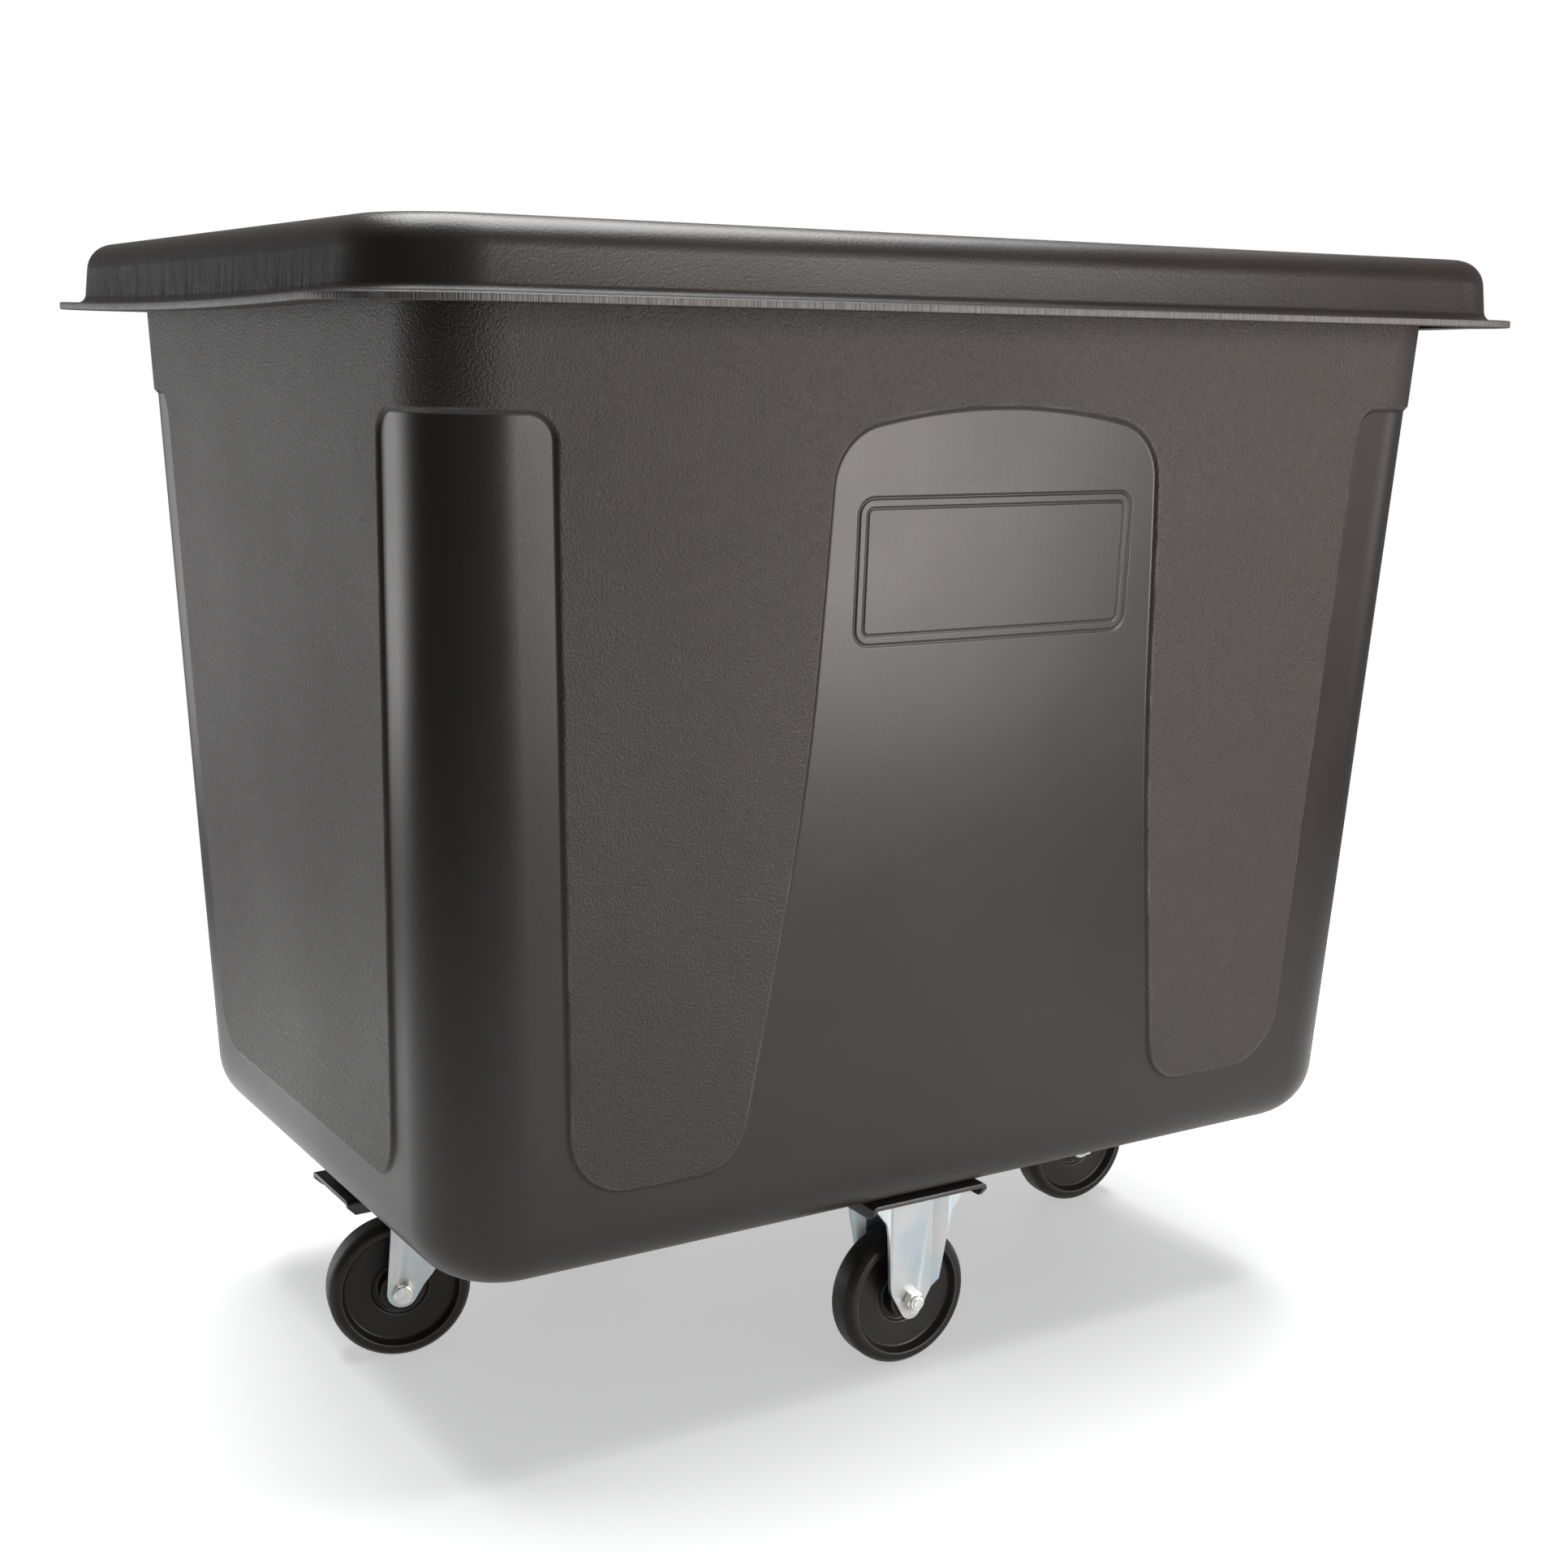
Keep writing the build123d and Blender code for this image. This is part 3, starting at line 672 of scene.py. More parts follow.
path_points = ring(lip, rim_half_x, rim_half_y, lip_corner, bow=False)
path = guide("lip_path", path_points, [(i, (i + 1) % len(path_points)) for i in range(len(path_points))])
rim_mesh = grown(path, rim_tree(), section=section, sag=4.0 * mm, sag_reach=rim_half_y - lip_corner,
                 sag_top=top - 6 * mm, short_side=rim_half_x - 60 * mm)
print("rim mesh:", len(rim_mesh.vertices), "points for", len(path_points), "x", len(section_points))
for helper in (path, section):
    bpy.data.objects.remove(helper)

# %% [markdown]
# ## The raised, grained areas
# The grained areas stand 3.2 mm proud of the smooth ones. Their border is a
# single line round the whole tub: it runs level across each corner, dips down
# the corner posts, and on the long walls climbs round the middle panel. Each
# turn of the line is an arc of its own radius, so the line needs only its
# corner points. The soft step is made of parallel copies of that line, each a
# little further across the step and a little higher.
#
# A grid fine enough to show the step everywhere would be huge. Instead the
# copies of the line and a coarse grid are joined by a constrained Delaunay
# triangulation, which puts small faces only where the line runs.

# %% The border line
post_top, leg_foot = lip - 72 * mm, foot + 76 * mm


def rounded_line(corners, spacing=14 * mm, turn_step=9.0):
    """A dense line through (x, z, radius) corners, each turn an arc of its radius."""
    line = [Vector(corners[0][:2])]
    for before, (x, z, radius), after in zip(corners, corners[1:], corners[2:]):
        here = Vector((x, z))
        back, on = (Vector(before[:2]) - here).normalized(), (Vector(after[:2]) - here).normalized()
        half = math.acos(max(-1, min(1, back.dot(on)))) / 2
        reach = radius / math.tan(half)
        centre = here + (back + on).normalized() * radius / math.sin(half)
        start, stop = here + back * reach - centre, here + on * reach - centre
        sweep = start.angle_signed(stop)
        steps = max(3, math.ceil(abs(math.degrees(sweep)) / turn_step),
                    math.ceil(abs(sweep) * radius / spacing))
        for i in range(steps + 1):
            turned = start.copy()
            turned.rotate(Matrix.Rotation(-sweep * i / steps, 2))
            line.append(centre + turned)
    line.append(Vector(corners[-1][:2]))
    dense = [line[0]]
    for end in line[1:]:
        begin = dense[-1]
        pieces = max(1, math.ceil((end - begin).length / spacing))
        dense += [begin.lerp(end, i / pieces) for i in range(1, pieces + 1)]
    return dense


def both_sides(half):
    """Corners of the right half, with the left half mirrored in front."""
    return [(-x, z, r) for x, z, r in reversed(half) if x > 0] + half


def border(kind):
    """The border of the raised areas on one wall, raised side on the left."""
    post_widths = (97 * mm, 105 * mm) if kind == 0 else (92 * mm, 101 * mm)
    half_top, half_foot = wall_at(post_top)[kind], wall_at(leg_foot)[kind]
    post_edge, post_root = half_top + step - post_widths[0], half_foot + step - post_widths[1]
    far = wall_at(post_top)[kind] - wall_at(post_top)[2] + corner_end - flat_end
    ends = [(post_edge, post_top, 22 * mm), (far, post_top, 0)]
    if kind == 1:
        return rounded_line(both_sides([(post_root, leg_foot, 42 * mm)] + ends), 7 * mm)
    panel = [
        (0, lip - 58.5 * mm, 571 * mm), (157 * mm, lip - 89 * mm, 50 * mm),
        (171 * mm, lip - 372 * mm, 2500 * mm), (214 * mm, leg_foot, 42 * mm), (post_root, leg_foot, 55 * mm)]
    return rounded_line(both_sides(panel + ends), 7 * mm)


def shifted(line, distance, closed=False):
    """The line moved to its left by distance."""
    moved = []
    for i, point in enumerate(line):
        before = line[i - 1] if closed or i else line[0]
        after = line[(i + 1) % len(line)] if closed or i < len(line) - 1 else line[-1]
        along = (after - before).normalized()
        moved.append(point + Vector((-along.y, along.x)) * distance)
    return moved


for kind in (0, 1):
    print("border points on wall", kind, ":", len(border(kind)))

# %% The wall pattern
pattern_low, pattern_high, row_gap = foot + 62 * mm, lip - 47 * mm, 24 * mm
step_width = 5 * mm


def to_q(kind, x, z):
    """The sample number of a point x across and z up on a flat wall."""
    half = wall_at(z)[kind] - wall_at(z)[2]
    if abs(x) <= half:
        return flat_end * x / half
    return math.copysign(flat_end + abs(x) - half, x)


# Loops of the name frame: millimetres in from its edge, and the share of the
# groove's depth there. Flat loops beside each groove keep its shading crisp.
groove_depth = 0.9 * mm
FRAME_LINES = ((-1.3, 0), (-0.4, 0), (0.5, 1), (1.5, 1), (2.4, 0), (3.3, 0),
               (6.7, 0), (7.6, 0), (8.4, 0.8), (9.2, 0.8), (10, 0), (10.9, 0))


def label_loops():
    """Loops of the blank frame line, as (points, depth share) from outside in."""
    half_wide, half_high, radius = 135 * mm, 58 * mm, 14 * mm
    middle = lip - 195 * mm
    loops = []
    for inset, share in FRAME_LINES:
        d = inset * mm
        loop = []
        for sx, sz, start in ((1, 1, 0), (-1, 1, 90), (-1, -1, 180), (1, -1, 270)):
            cx, cz = sx * (half_wide - radius), middle + sz * (half_high - radius)
            loop += [Vector(p) for p in arc(cx, cz, radius - d, start, start + 90, 6)]
        dense = []
        for begin, end in zip(loop, loop[1:] + loop[:1]):
            pieces = max(1, math.ceil((end - begin).length / (16 * mm)))
            dense += [begin.lerp(end, i / pieces) for i in range(pieces)]
        loops.append((dense, share))
    return loops


def inside(points, polygon):
    """Whether each point lies inside the polygon, by counting crossings."""
    px, pz = points[:, 0], points[:, 1]
    hit = np.zeros(len(points), bool)
    for (x0, z0), (x1, z1) in zip(polygon, np.roll(polygon, -1, 0)):
        crosses = (z0 > pz) != (z1 > pz)
        with np.errstate(divide="ignore", invalid="ignore"):
            hit ^= crosses & (px < (x1 - x0) * (pz - z0) / (z1 - z0) + x0)
    return hit


def distance_to(points, line):
    """Distance of each point from a line of points, measured to its spans."""
    best = np.full(len(points), 1e9)
    for a, b in zip(line[:-1], line[1:]):
        ab = b - a
        t = np.clip(((points - a) @ ab) / max(ab @ ab, 1e-12), 0, 1)
        best = np.minimum(best, np.linalg.norm(points - (a + t[:, None] * ab), axis=1))
    return best


def ease(t):
    t = min(1.0, max(0.0, t))
    return t * t * (3 - 2 * t)


def wall_pattern(kind, inner):
    """Flat triangles of one wall: (q, z, raised share, label depth share) and faces."""
    centre_line = border(kind)
    base_shift = wall if inner else 0.0
    offsets = (-3.4, -2.4, -1.3, -0.4, 0.4, 1.3, 2.4, 3.4) if not inner else (-3.4, -1.2, 1.2, 3.4)
    points, facts, edges = [], [], []

    def add_line(line, raised, sunk, closed=False):
        first = len(points)
        for x, z in line:
            points.append((to_q(kind, x, z), z))
            facts.append((raised, sunk))
        count = len(points) - first
        edges.extend((first + i, first + i + 1) for i in range(count - 1))
        if closed:
            edges.append((first + count - 1, first))

    for offset in offsets:
        line = shifted(centre_line, offset * mm + base_shift)
        for end, sign in ((0, -1), (-1, 1)):
            line[end] = Vector((sign * 1.0, line[end].y))
        raised = ease(offset * mm / step_width + 0.5)
        add_line(line, raised, 0.0)
        for index in (len(points) - 1, len(points) - len(line)):
            points[index] = (math.copysign(corner_end, points[index][0]), points[index][1])
    loops = label_loops() if kind == 0 and not inner else []
    for loop, share in loops:
        add_line(loop, 0.0, share, closed=True)

    rows = round((pattern_high - pattern_low) / row_gap) + 1
    levels = np.linspace(pattern_low, pattern_high, rows)
    grid = np.array([(q, z) for z in levels for q in samples(kind)])
    own_line = np.array([(to_q(kind, x, z), z) for x, z in shifted(centre_line, base_shift)])
    keep = distance_to(grid, own_line) > 7 * mm
    for loop, _ in loops[::5]:
        closed = np.array([(to_q(kind, x, z), z) for x, z in loop + loop[:1]])
        keep &= distance_to(grid, closed) > 4 * mm
    on_rim = (np.abs(grid[:, 1] - pattern_low) < 1e-9) | (np.abs(grid[:, 1] - pattern_high) < 1e-9)
    grid = grid[keep | on_rim]
    roof = [(corner_end + 1, 2.0), (-corner_end - 1, 2.0)]
    stretched = [(-corner_end - 1, own_line[0][1]), *own_line, (corner_end + 1, own_line[-1][1])]
    raised_grid = inside(grid, np.array(stretched + roof))
    for (q, z), is_raised in zip(grid, raised_grid):
        points.append((q, z))
        facts.append((float(is_raised), 0.0))

    flat_points = [Vector(p) for p in points]
    made, _, faces, origin, _, _ = delaunay_2d_cdt(flat_points, edges, [], 0, 1e-7)
    settled = []
    for point, source in zip(made, origin):
        raised, sunk = facts[source[0]] if source else (0.0, 0.0)
        settled.append((point.x, point.y, raised, sunk))
    return settled, [tuple(f) for f in faces]


for kind in (0, 1):
    settled, faces = wall_pattern(kind, False)
    print("wall", kind, "pattern:", len(settled), "points,", len(faces), "faces")

# %% [markdown]
# ## Assembling the tub
# The skin is gathered in one list of points, with the numbers that the finish
# reads: grain, the step edges (polished wear and a painted highlight), cut,
# ripple, and the distance run along the lip. It is followed in one sweep: up
# the outside, into the hollow of the rim, round the rim, over the top, down the
# inside and across the floor. Following one direction keeps every face pointing out of the plastic.

# %% Gathering the skin
class Skin:
    """Points, their painted numbers, and faces."""

    def __init__(self):
        self.points, self.paint, self.faces = [], [], []

    def add_point(self, point, grain=0.0, wear=0.0, cut=0.0, ripple=0.0, run=0.0):
        self.points.append(point)
        self.paint.append((grain, wear, cut, ripple, run))

    def add_ring(self, row, **paint):
        first = len(self.points)
        for point in row:
            self.add_point(point, **paint)
        return first

    def bridge(self, lower, upper, count):
        """Faces between two rings, lower first in the sweep."""
        for i in range(count):
            j = (i + 1) % count
            self.faces.append((lower + i, lower + j, upper + j, upper + i))

    def sweep(self, rows, **paint):
        """Adds rings one after another and joins neighbours."""
        starts = [self.add_ring(row, **paint) for row in rows]
        for lower, upper in zip(starts, starts[1:]):
            self.bridge(lower, upper, len(rows[0]))
        return starts

    def add_pattern(self, kind, settled, faces, inner):
        first = len(self.points)
        for q, z, raised, sunk in settled:
            out = (step * raised - wall) if inner else step * raised - groove_depth * sunk
            # The upper edge of each step is painted lighter by the finish: partly polished wear, partly a
            # painted highlight.
            wear = 0.0 if raised in (0.0, 1.0) else math.exp(-((raised - 0.86) / 0.16) ** 2)
            grain = 0.35 * raised if inner else raised
            self.add_point(place(kind, q, z, *wall_at(z, out)), grain=grain, wear=wear)
        for a, b, c in faces:
            corners = (a, c, b) if inner else (a, b, c)
            self.faces.append(tuple(first + i for i in corners))


def base_row(z, out, low, radius):
    """An outline on the rounded foot, where wall and floor meet in an arc."""
    line_x, line_y, corner = wall_at(z, out)
    halves = []
    for line, lean in ((line_x, lean_x), (line_y, lean_y)):
        slope = lean / (lip - foot)
        at_centre = line + slope * (low + radius - z)
        centre = at_centre - radius * math.sqrt(1 + slope * slope)
        touch = low + radius + radius * math.sin(math.atan(slope))
        rise = min(1.0, max(-1.0, (low + radius - z) / radius))
        halves.append(line if z >= touch else centre + radius * math.sqrt(1 - rise * rise))
    inset = (line_x - halves[0] + line_y - halves[1]) / 2
    return ring(z, halves[0], halves[1], corner - inset)


def base_rows(out, low, radius, steps=11):
    """Outlines from the flat floor up to the foot of the wall pattern."""
    turns = [math.radians(90 - 94 * i / steps) for i in range(steps)]
    rows = [base_row(low + radius - radius * math.sin(t), out, low, radius) for t in turns]
    return rows + [base_row(pattern_low, out, low, radius)]


def floor_rows(edge_row, level):
    """Outlines from near the middle of a floor out to its edge."""
    shares = (0.02, 0.25, 0.5, 0.75)
    return [[(x * s, y * s, level) for x, y, _ in edge_row] for s in shares] + [edge_row]


def rim_rings(mesh):
    """The swept rim's points, as one ring for each point of the section."""
    co = np.array([v.co for v in mesh.vertices])
    return [co[i::len(section_points)] for i in range(len(section_points))]


def assemble_tub():
    skin = Skin()
    count = len(path_points)
    outside = base_rows(0.0, foot, base_round)
    skin.sweep(floor_rows(outside[0], foot) + outside[1:])
    for kind in range(4):
        for inner in (False, True):
            skin.add_pattern(kind, *wall_pattern(kind % 2, inner), inner)
    rings = rim_rings(rim_mesh)
    ceiling, tuck_round = top - wall, 6 * mm
    neck = [ring(z, *wall_at(z, step)) for z in np.linspace(pattern_high, ceiling - tuck_round, 6)]
    skin.sweep(neck, grain=1.0)
    tuck = []
    for turn in (0, 30, 60, 90):
        t = math.radians(turn)
        z = ceiling - tuck_round + tuck_round * math.sin(t)
        tuck.append(ring(z, *wall_at(z, step + tuck_round * (1 - math.cos(t)))))
    skin.sweep(tuck + [rings[0]], grain=0.5)

    run = np.concatenate([[0], np.cumsum(np.linalg.norm(np.diff(path_points, axis=0), axis=1))])
    starts = []
    for (across, height), row in zip(section_points, rings):
        starts.append(len(skin.points))
        is_cut = 1.0 if across > -0.5 and height < 5.2 else 0.0
        fade = ease((44 - height) / 24) * ease((height - 5) / 5) if across < -15 else 0.0
        for i, (x, y, z) in enumerate(row):
            side = ease((abs(x) - 0.45) / 0.06) * ease((0.34 - abs(y)) / 0.08)
            skin.add_point((x, y, z), grain=0.10, cut=is_cut, ripple=fade * side, run=run[i])
    for lower, upper in zip(starts, starts[1:]):
        skin.bridge(lower, upper, count)

    mouth = 6 * mm
    in_x, in_y, in_corner = wall_at(top, step - wall)
    over = [[tuple(p) for p in rings[-1]]]
    for turn in (90, 65, 40, 20, 0):
        t = math.radians(turn)
        out = mouth * (1 - math.cos(t))
        over.append(ring(top - mouth + mouth * math.sin(t), in_x + out, in_y + out, in_corner + out))
    over += [ring(z, *wall_at(z, step - wall)) for z in np.linspace(top - 9 * mm, pattern_high, 6)]
    skin.sweep(over, grain=0.2)

    within = base_rows(-wall, foot + wall, base_round - wall)
    skin.sweep(list(reversed(floor_rows(within[0], foot + wall) + within[1:])), grain=0.1)
    return skin


def close_middle(shape, level, downward):
    """One flat face over the small opening left in the middle of a floor."""
    loop = [e for e in shape.edges if e.is_boundary and abs(e.verts[0].co.z - level) < 1e-6
            and e.verts[0].co.xy.length < 0.05]
    made = bmesh.ops.contextual_create(shape, geom=loop)["faces"]
    for face in made:
        face.normal_update()
        if (face.normal.z > 0) == downward:
            face.normal_flip()


def make_tub():
    skin = assemble_tub()
    mesh = bpy.data.meshes.new("moulded_tub")
    mesh.from_pydata(skin.points, [], skin.faces)
    for index, name in enumerate(("grain", "wear", "cut", "ripple", "run")):
        paint_mesh(mesh, name, [p[index] for p in skin.paint])
    shape = bmesh.new()
    shape.from_mesh(mesh)
    bmesh.ops.remove_doubles(shape, verts=shape.verts, dist=2e-5)
    close_middle(shape, foot, True)
    close_middle(shape, foot + wall, False)
    shape.normal_update()
    open_edges = sum(e.is_boundary for e in shape.edges)
    shape.to_mesh(mesh)
    shape.free()
    smooth(mesh)
    hand_over(make_object("moulded_tub", mesh), "tub_plastic", "tub")
    print("tub:", len(mesh.vertices), "points,", len(mesh.polygons), "faces,", open_edges, "open edges")


make_tub()

# %% [markdown]
# ## Folded and turned steel
# The channels, forks, plates, pins and sleeves have the right shape in the
# frame, but their edges are knife sharp, and no pressed or painted steel is.
# A copy of each is welded, its flat facets are merged, and its hard edges get
# a narrow round. The new faces are marked, so that paint can chip there.

# %% Soft edges on steel pieces
def softened(node, name, finish, width):
    """A copy of a CAD node with its hard edges rounded by width."""
    mesh = frame["nodes"][node].data.copy()
    mesh.materials.clear()
    shape = bmesh.new()
    shape.from_mesh(mesh)
    bmesh.ops.remove_doubles(shape, verts=shape.verts, dist=1e-6)
    bmesh.ops.dissolve_limit(
        shape, angle_limit=math.radians(0.5), verts=shape.verts, edges=shape.edges,
        use_dissolve_boundaries=False)
    edge_layer = shape.faces.layers.float.new("edge")
    hard = [e for e in shape.edges if len(e.link_faces) == 2 and e.calc_face_angle(0) > math.radians(38)]
    made = bmesh.ops.bevel(
        shape, geom=hard, offset=width, offset_type="OFFSET", segments=2, profile=0.5, affect="EDGES",
        clamp_overlap=True)
    for face in made["faces"]:
        face[edge_layer] = 1.0
    shape.to_mesh(mesh)
    shape.free()
    mesh.name = name
    smooth(mesh, 40)
    hand_over(make_object(name, mesh), finish, node)


steel_pieces = [("cross_channel", "cross_channel_steel", "channel_paint", 0.7 * mm)]
for side in ("left", "right"):
    steel_pieces.append((f"{side}_end_channel", f"{side}_end_channel_steel", "channel_paint", 0.7 * mm))
    steel_pieces.append((f"{side}_swivel_plate", f"{side}_swivel_top_plate", "zinc_sheet", 0.4 * mm))
    steel_pieces.append((f"{side}_swivel_kingpin", f"{side}_swivel_rivet", "zinc_hardware", 0.3 * mm))
    steel_pieces.append((f"{side}_swivel_lower_race", f"{side}_swivel_race_cup", "zinc_hardware", 0.3 * mm))
for caster in CASTERS:
    steel_pieces.append((f"{caster}_fork", f"{caster}_fork_pressing", "zinc_sheet", 0.4 * mm))
    steel_pieces.append((f"{caster}_axle_sleeve", f"{caster}_axle_tube", "zinc_hardware", 0.2 * mm))
for piece in steel_pieces:
    softened(*piece)
print("steel pieces:", len(steel_pieces))

# %% [markdown]
# ## Wheels
# A wheel is a turned shape: one half outline, carried round the axle. The
# outline has small rounds at each edge, a sunk web with a soft root, and a
# deep groove round the hub. Mesh code is the plain way here, and it can mark
# the tread and the crisp edges for the finish at the same time.

# %% Turning shapes on a lathe
wheel_steps, round_steps, small_steps = 128, 72, 48


def circle_row(radius, z, steps=round_steps):
    """Points of a level circle."""
    turns = [2 * math.pi * i / steps for i in range(steps)]
    return [(radius * math.cos(t), radius * math.sin(t), z) for t in turns]


def lofted(rows, endless=False):
    """Points and faces through rings of equal length, closed by end faces or round into the first."""
    count = len(rows[0])
    points = [p for row in rows for p in row]
    faces = []
    for j in range(len(rows) if endless else len(rows) - 1):
        here, there = j * count, (j + 1) % len(rows) * count
        for i in range(count):
            k = (i + 1) % count
            faces.append((here + i, here + k, there + k, there + i))
    if not endless:
        faces.append(tuple(len(points) - count + i for i in range(count)))
        faces.append(tuple(reversed(range(count))))
    return points, faces


def joined(name, *parts):
    """One mesh from several (points, faces) parts."""
    points, faces = [], []
    for part_points, part_faces in parts:
        shift = len(points)
        points += part_points
        faces += [tuple(shift + i for i in face) for face in part_faces]
    mesh = bpy.data.meshes.new(name)
    mesh.from_pydata(points, [], faces)
    return mesh


def axle_frame(caster):
    """Matrix whose Z is a caster's axle, pointing from its bolt's head to its nut."""
    joint = next(j for j in frame["joints"] if j["name"] == f"{caster}_wheel_spin")
    centre = Vector(joint["pos_m"])
    nut = sum(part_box(f"{caster}_axle_nut"), Vector()) / 2 - centre
    axis = Vector(joint["axis"]).normalized()
    if axis.dot(nut) < 0:
        axis = -axis
    side = Vector((0, 0, 1)).cross(axis)
    return Matrix.Translation(centre) @ Matrix((side, axis.cross(side), axis)).transposed().to_4x4()


def on_axle(caster, mesh, out=0.0, smooth_angle=28):
    """An object on a caster's axle, its Z 0 plane moved out from the wheel's middle."""
    mesh.transform(Matrix.Translation((0, 0, out)))
    mesh.transform(axle_frame(caster))
    smooth(mesh, smooth_angle)
    return make_object(mesh.name, mesh)


def softened_outline(corners, steps=3):
    """Points (radius, height, flag) of an outline with rounded corners; the flag marks crisp ones."""
    crisp = 1.6 * mm
    drawn = []
    for i, (r, h, round_off) in enumerate(corners):
        here = Vector((r, h))
        if round_off == 0 or i in (0, len(corners) - 1):
            drawn.append((r, h, 0.0))
            continue
        back = Vector(corners[i - 1][:2]) - here
        on = Vector(corners[i + 1][:2]) - here
        reach = min(round_off, 0.45 * back.length, 0.45 * on.length)
        a, b = here + back.normalized() * reach, here + on.normalized() * reach
        for k in range(steps + 1):
            t = k / steps
            p = a * (1 - t) ** 2 + here * 2 * t * (1 - t) + b * t ** 2
            drawn.append((p.x, p.y, 1.0 if k < steps and round_off < crisp else 0.0))
    return drawn


def wheel_outline():
    """Half section of the wheel, from the bore round the lower face, over the tread and back."""
    side = [
        (8.05, 18, 0), (18.7, 18, 0.7), (19.5, 5, 1.5), (25, 5, 1.5), (26, 8, 1.0),
        (49.0, 8, 2.2), (50.6, 11, 0.0), (52.7, 16, 0.8), (58.5, 16, 2.0), (63.5, 10.5, 4.5)]
    lower = [(r * mm, -h * mm, round_off * mm) for r, h, round_off in side]
    upper = [(r, -h, round_off) for r, h, round_off in reversed(lower)]
    return softened_outline(lower + upper)


outline = wheel_outline()
tread_start, tread_fade = 60 * mm, 3 * mm
for caster in CASTERS:
    rows = [circle_row(r, h, wheel_steps) for r, h, _ in outline]
    mesh = joined(f"{caster}_wheel_moulding", lofted(rows, endless=True))
    edge = [flag for _, _, flag in outline for _ in range(wheel_steps)]
    tread = [ease((r - tread_start) / tread_fade) for r, _, _ in outline for _ in range(wheel_steps)]
    paint_mesh(mesh, "edge", edge, "FACE")
    paint_mesh(mesh, "tread", tread)
    hand_over(on_axle(caster, mesh, smooth_angle=50), "wheel_plastic", f"{caster}_wheel")
print("wheels:", len(CASTERS), "with", len(outline), "points in their outline")

# %% [markdown]
# ## Axle bolts and nuts
# A hexagon is cut from round bar, so its corners are turned away by a cone:
# the face ends in a circle, and each flat ends in a curve. Both come from one
# formula for the radius at each angle. The nut carries a collar with a nylon
# ring, and the end of the bolt stands a little proud of it, with its thread.

# %% Hexagons and threads
def hexagon(across_flats, height):
    """Outline rings of a hexagon from Z 0 up to height, with a coned top."""
    apothem = across_flats / 2
    circle, cone_slope = 0.94 * apothem, 0.55
    foot_row, edge_row = [], []
    for i in range(round_steps):
        t = 2 * math.pi * i / round_steps
        reach = apothem / math.cos((t % math.radians(60)) - math.radians(30))
        foot_row.append((reach * math.cos(t), reach * math.sin(t), 0.0))
        edge_row.append((*foot_row[-1][:2], height - (reach - circle) * cone_slope))
    return [foot_row, edge_row, circle_row(circle, height)]


def flipped(part, level):
    """A part turned over, its Z 0 plane put at level and its top below."""
    points, faces = part
    return [(x, -y, level - z) for x, y, z in points], faces


def threaded_end(radius, start, length, pitch=1.25 * mm):
    """A rod's end with thread ridges drawn as rings."""
    rows = []
    for i in range(int(length / pitch)):
        z = start + i * pitch
        rows += [circle_row(radius, z), circle_row(radius, z + 0.2 * pitch),
                 circle_row(0.9 * radius, z + 0.6 * pitch)]
    rows += [circle_row(radius, start + length - 0.5 * mm), circle_row(0.86 * radius, start + length)]
    return lofted(rows)


# %% Axle bolts and nuts
leg_outer, axle_radius, axle_hex = 22 * mm, 5 * mm, 16 * mm
washer_face = 0.5 * mm


def make_axle_bolt(caster):
    flange = lofted([circle_row(7.9 * mm, 0), circle_row(7.9 * mm, washer_face)])
    head = lofted(hexagon(axle_hex, 6 * mm))
    shank = lofted([circle_row(axle_radius, z * mm) for z in (-22, 0, 22, 30)])
    thread = threaded_end(axle_radius, 30 * mm, 3.5 * mm)
    mesh = joined(f"{caster}_hex_bolt", flipped(flange, -leg_outer),
                  flipped(head, -leg_outer - washer_face), shank, thread)
    hand_over(on_axle(caster, mesh), "zinc_hardware", f"{caster}_axle_bolt")


def make_axle_nut(caster):
    foot_row, *upper_rows = hexagon(axle_hex, 8 * mm)
    rows = [[(x * 0.97, y * 0.97, z) for x, y, z in foot_row], [(x, y, 0.4 * mm) for x, y, _ in foot_row]]
    collar = [circle_row(r * mm, z * mm) for r, z in ((7.2, 8), (7.1, 9.2), (6.6, 10), (6.0, 10))]
    nut = joined(f"{caster}_lock_nut", lofted(rows + upper_rows + collar))
    hand_over(on_axle(caster, nut, leg_outer), "zinc_hardware", f"{caster}_axle_nut")
    insert = lofted([circle_row(r * mm, z * mm) for r, z in ((6.1, 9.6), (6.0, 10.15), (5.0, 10.2))])
    nylon = joined(f"{caster}_nylon_ring", insert)
    nylon.materials.append(NYLON)
    obj = on_axle(caster, nylon, leg_outer)
    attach(obj, body_of(f"{caster}_axle_nut"))


for caster in CASTERS:
    make_axle_bolt(caster)
    make_axle_nut(caster)
print("axle sets:", len(CASTERS))

# %% [markdown]
# ## Plate bolts, washers and nuts
# Each caster plate is held by four equal sets of bolt, washer and nut. One of
# each is modelled, and a Geometry Nodes tree copies it to the four corners of
# the plate. On a real truck no two bolts stop at the same angle, so the tree
# turns each copy by a random amount, from a fixed seed.

# %% Fastener tree
def fastener_tree():
    t = Tree("fasteners_on_points", Fastener="Object", Turn="Float", Seed="Int")
    part = t.node("GeometryNodeObjectInfo", Object=t.given["Fastener"])
    turn = t.node("FunctionNodeRandomValue", {"data_type": "FLOAT"}, Seed=t.given["Seed"])
    float_low, float_high = 2, 3
    t.feed(turn, float_low, 0.0)
    t.feed(turn, float_high, t.given["Turn"])
    about = t.node("ShaderNodeCombineXYZ", Z=turn.outputs[1])
    copies = t.node("GeometryNodeInstanceOnPoints", Points=t.given["Geometry"],
                    Instance=part.outputs["Geometry"], Rotation=about.outputs[0])
    return t.finish(copies.outputs[0], "zinc_hardware")


fasteners = fastener_tree()


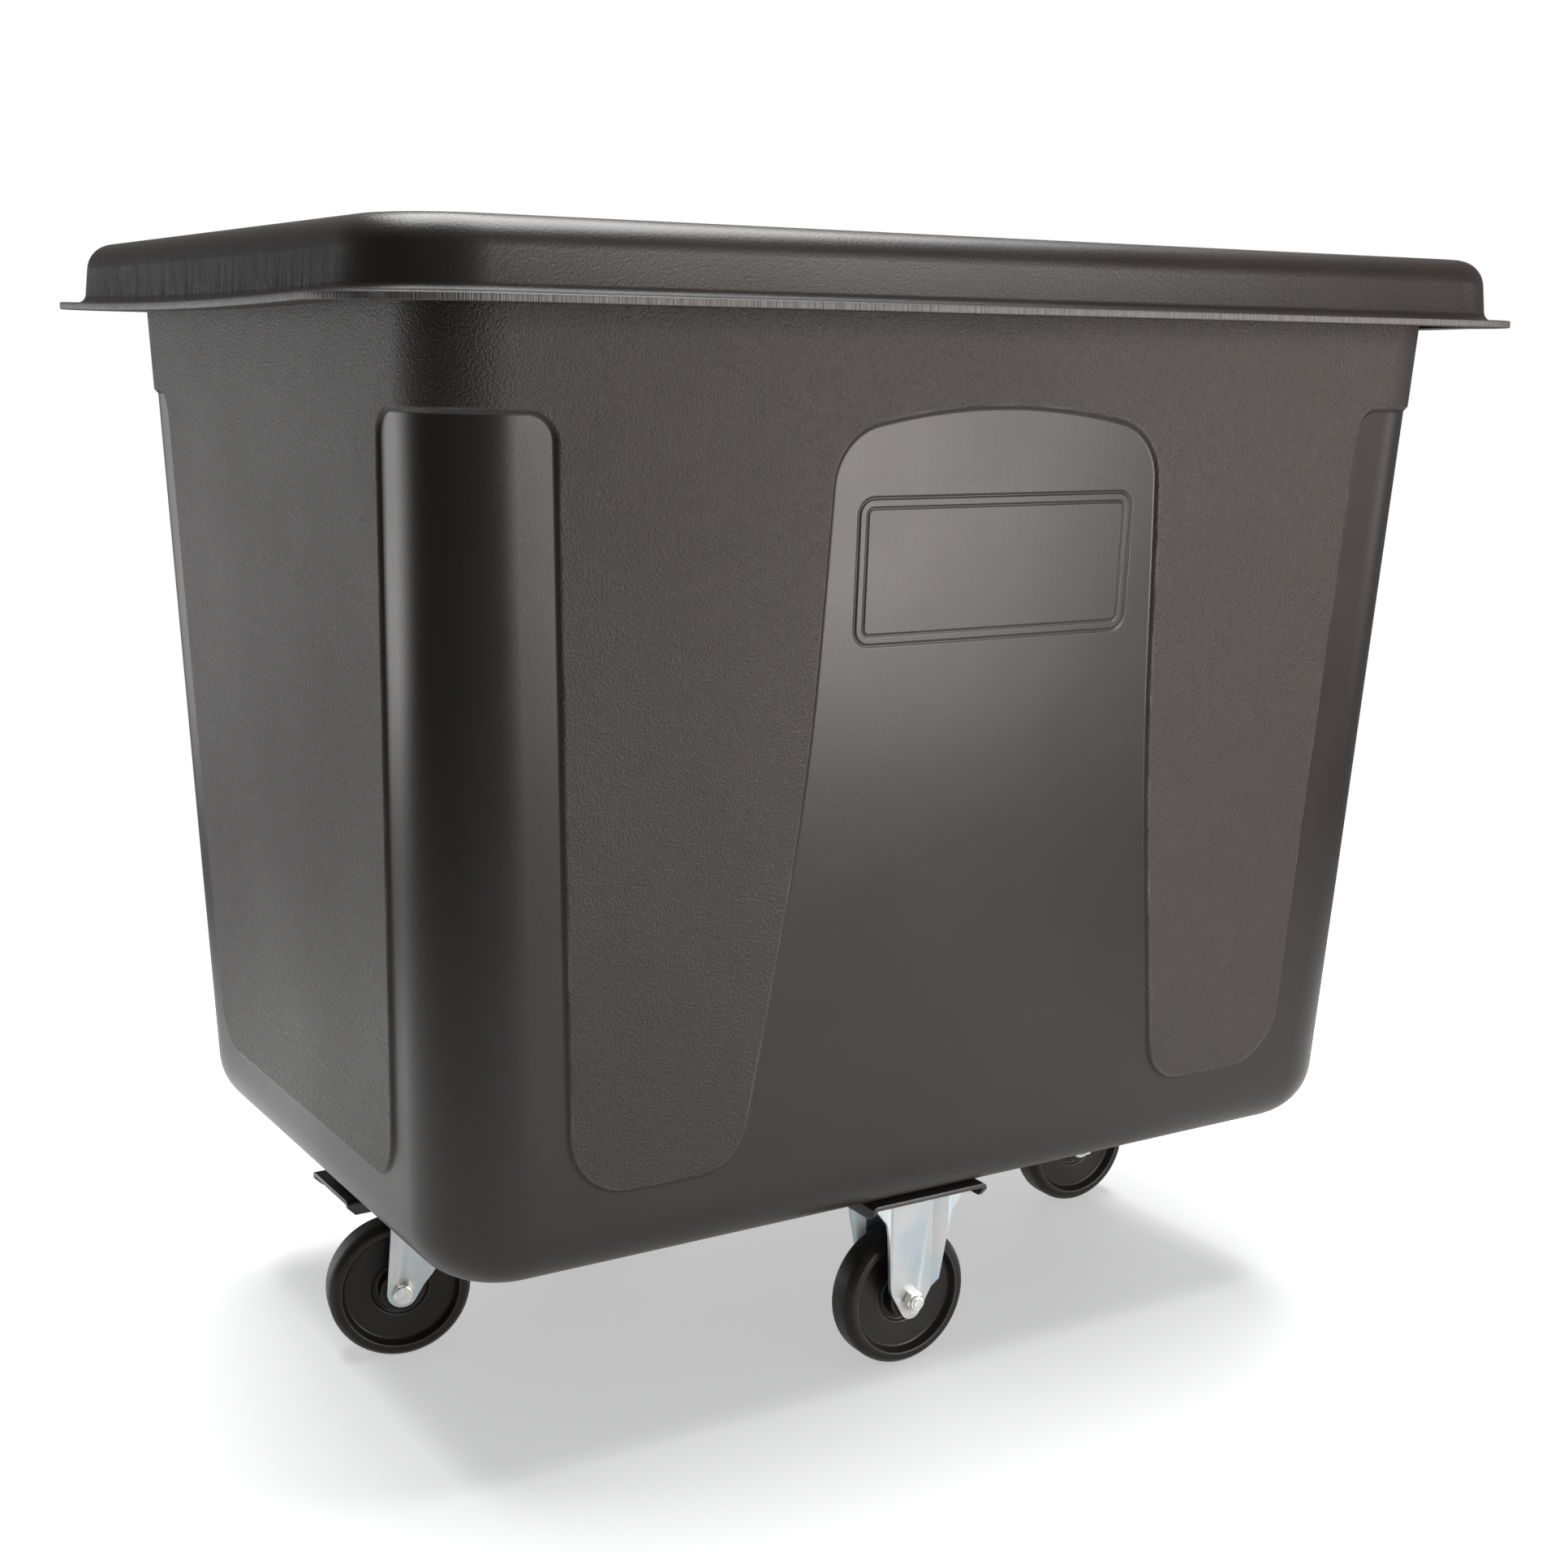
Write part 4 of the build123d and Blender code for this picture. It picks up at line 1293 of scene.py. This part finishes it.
def plate_corners(caster):
    """The four bolt places of a plate, taken from the frame's own bolts."""
    low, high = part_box(f"{caster}_bolts")
    head = 8 * mm
    places = [(x, y, 0) for x in (low.x + head, high.x - head) for y in (low.y + head, high.y - head)]
    return guide("plate_corners", places)


# %% The plate's bolt, washer and nut
def plate_bolt():
    low, high = (corner.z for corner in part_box("front_fixed_bolts"))
    seat, threaded = high - 4 * mm, 14 * mm
    head = [circle_row(7.7 * mm, seat, small_steps), circle_row(8 * mm, seat + 0.3 * mm, small_steps)]
    for degrees in (0, 18, 36, 54, 72, 86):
        t = math.radians(degrees)
        head.append(circle_row(8 * mm * math.cos(t), seat + 0.6 * mm + 3.4 * mm * math.sin(t), small_steps))
    shank = lofted([circle_row(4 * mm, z, small_steps) for z in (low + threaded, seat + 0.2 * mm)])
    thread = threaded_end(4 * mm, 0, threaded)
    return joined("plate_bolt", lofted(head), shank, flipped(thread, low + threaded))


def plate_washer():
    low, high = (corner.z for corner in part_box("front_fixed_washers"))
    rows = [circle_row(r * mm, z, small_steps) for r, z in (
        (4.4, low + 0.3 * mm), (4.8, low), (11.6, low), (12, low + 0.5 * mm), (12, high - 0.5 * mm),
        (11.5, high), (4.9, high), (4.4, high - 0.3 * mm))]
    return joined("plate_washer", lofted(rows, endless=True))


def plate_nut():
    low, high = (corner.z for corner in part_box("front_fixed_nuts"))
    flange = lofted([circle_row(6.5 * mm, 0), circle_row(6.5 * mm, 0.4 * mm)])
    body = lofted(hexagon(13 * mm, high - low))
    return joined("plate_nut", flipped(flange, high), flipped(body, high))


def lay_fasteners(kind, mesh, turn):
    smooth(mesh, 30)
    shape = bmesh.new()
    shape.from_mesh(mesh)
    bmesh.ops.remove_doubles(shape, verts=shape.verts, dist=1e-7)
    shape.to_mesh(mesh)
    shape.free()
    master = make_object(f"one_{kind}", mesh)
    for seed, caster in enumerate(CASTERS):
        corners = plate_corners(caster)
        made = grown(corners, fasteners, fastener=master, turn=turn, seed=seed + 3)
        bpy.data.objects.remove(corners)
        name = f"{caster}_plate_{kind}"
        made.name = name
        hand_over(make_object(name, made), "zinc_hardware", f"{caster}_{kind}")
    bpy.data.objects.remove(master)


any_way, nearly_square = math.radians(360), math.radians(7)
lay_fasteners("bolts", plate_bolt(), any_way)
lay_fasteners("washers", plate_washer(), any_way)
lay_fasteners("nuts", plate_nut(), nearly_square)
print("plate fasteners laid on", len(CASTERS), "plates")

# %% [markdown]
# ## Swivel bearings
# Each swivel turns on two rings of steel balls. A ring is a count, a circle
# and a ball size, which are the named inputs of a small tree.

# %% Ball rings
def ball_tree():
    t = Tree("ball_ring", Count="Int", Circle_radius="Float", Ball_radius="Float")
    circle = t.node("GeometryNodeMeshCircle", Vertices=t.given["Count"], Radius=t.given["Circle radius"])
    ball = t.node("GeometryNodeMeshUVSphere", Segments=20, Rings=12, Radius=t.given["Ball radius"])
    placed = t.node("GeometryNodeInstanceOnPoints", Points=circle.outputs[0], Instance=ball.outputs[0])
    moved = t.node("GeometryNodeInstanceOnPoints", Points=t.given["Geometry"], Instance=placed.outputs[0])
    return t.finish(moved.outputs[0], "bearing_steel")


balls = ball_tree()
ball_rings = (("upper_balls", 16, 22 * mm, 3.4 * mm), ("lower_balls", 14, 13 * mm, 2.4 * mm))
for side in ("left", "right"):
    for kind, count, circle_radius, ball_radius in ball_rings:
        node = f"{side}_swivel_{kind}"
        low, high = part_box(node)
        centre = guide("ring_centre", [(low + high) / 2])
        made = grown(centre, balls, count=count, circle_radius=circle_radius, ball_radius=ball_radius)
        bpy.data.objects.remove(centre)
        smooth(made)
        made.name = f"{node}_set"
        hand_over(make_object(f"{node}_set", made), "bearing_steel", node)
print("ball rings:", 2 * len(ball_rings))
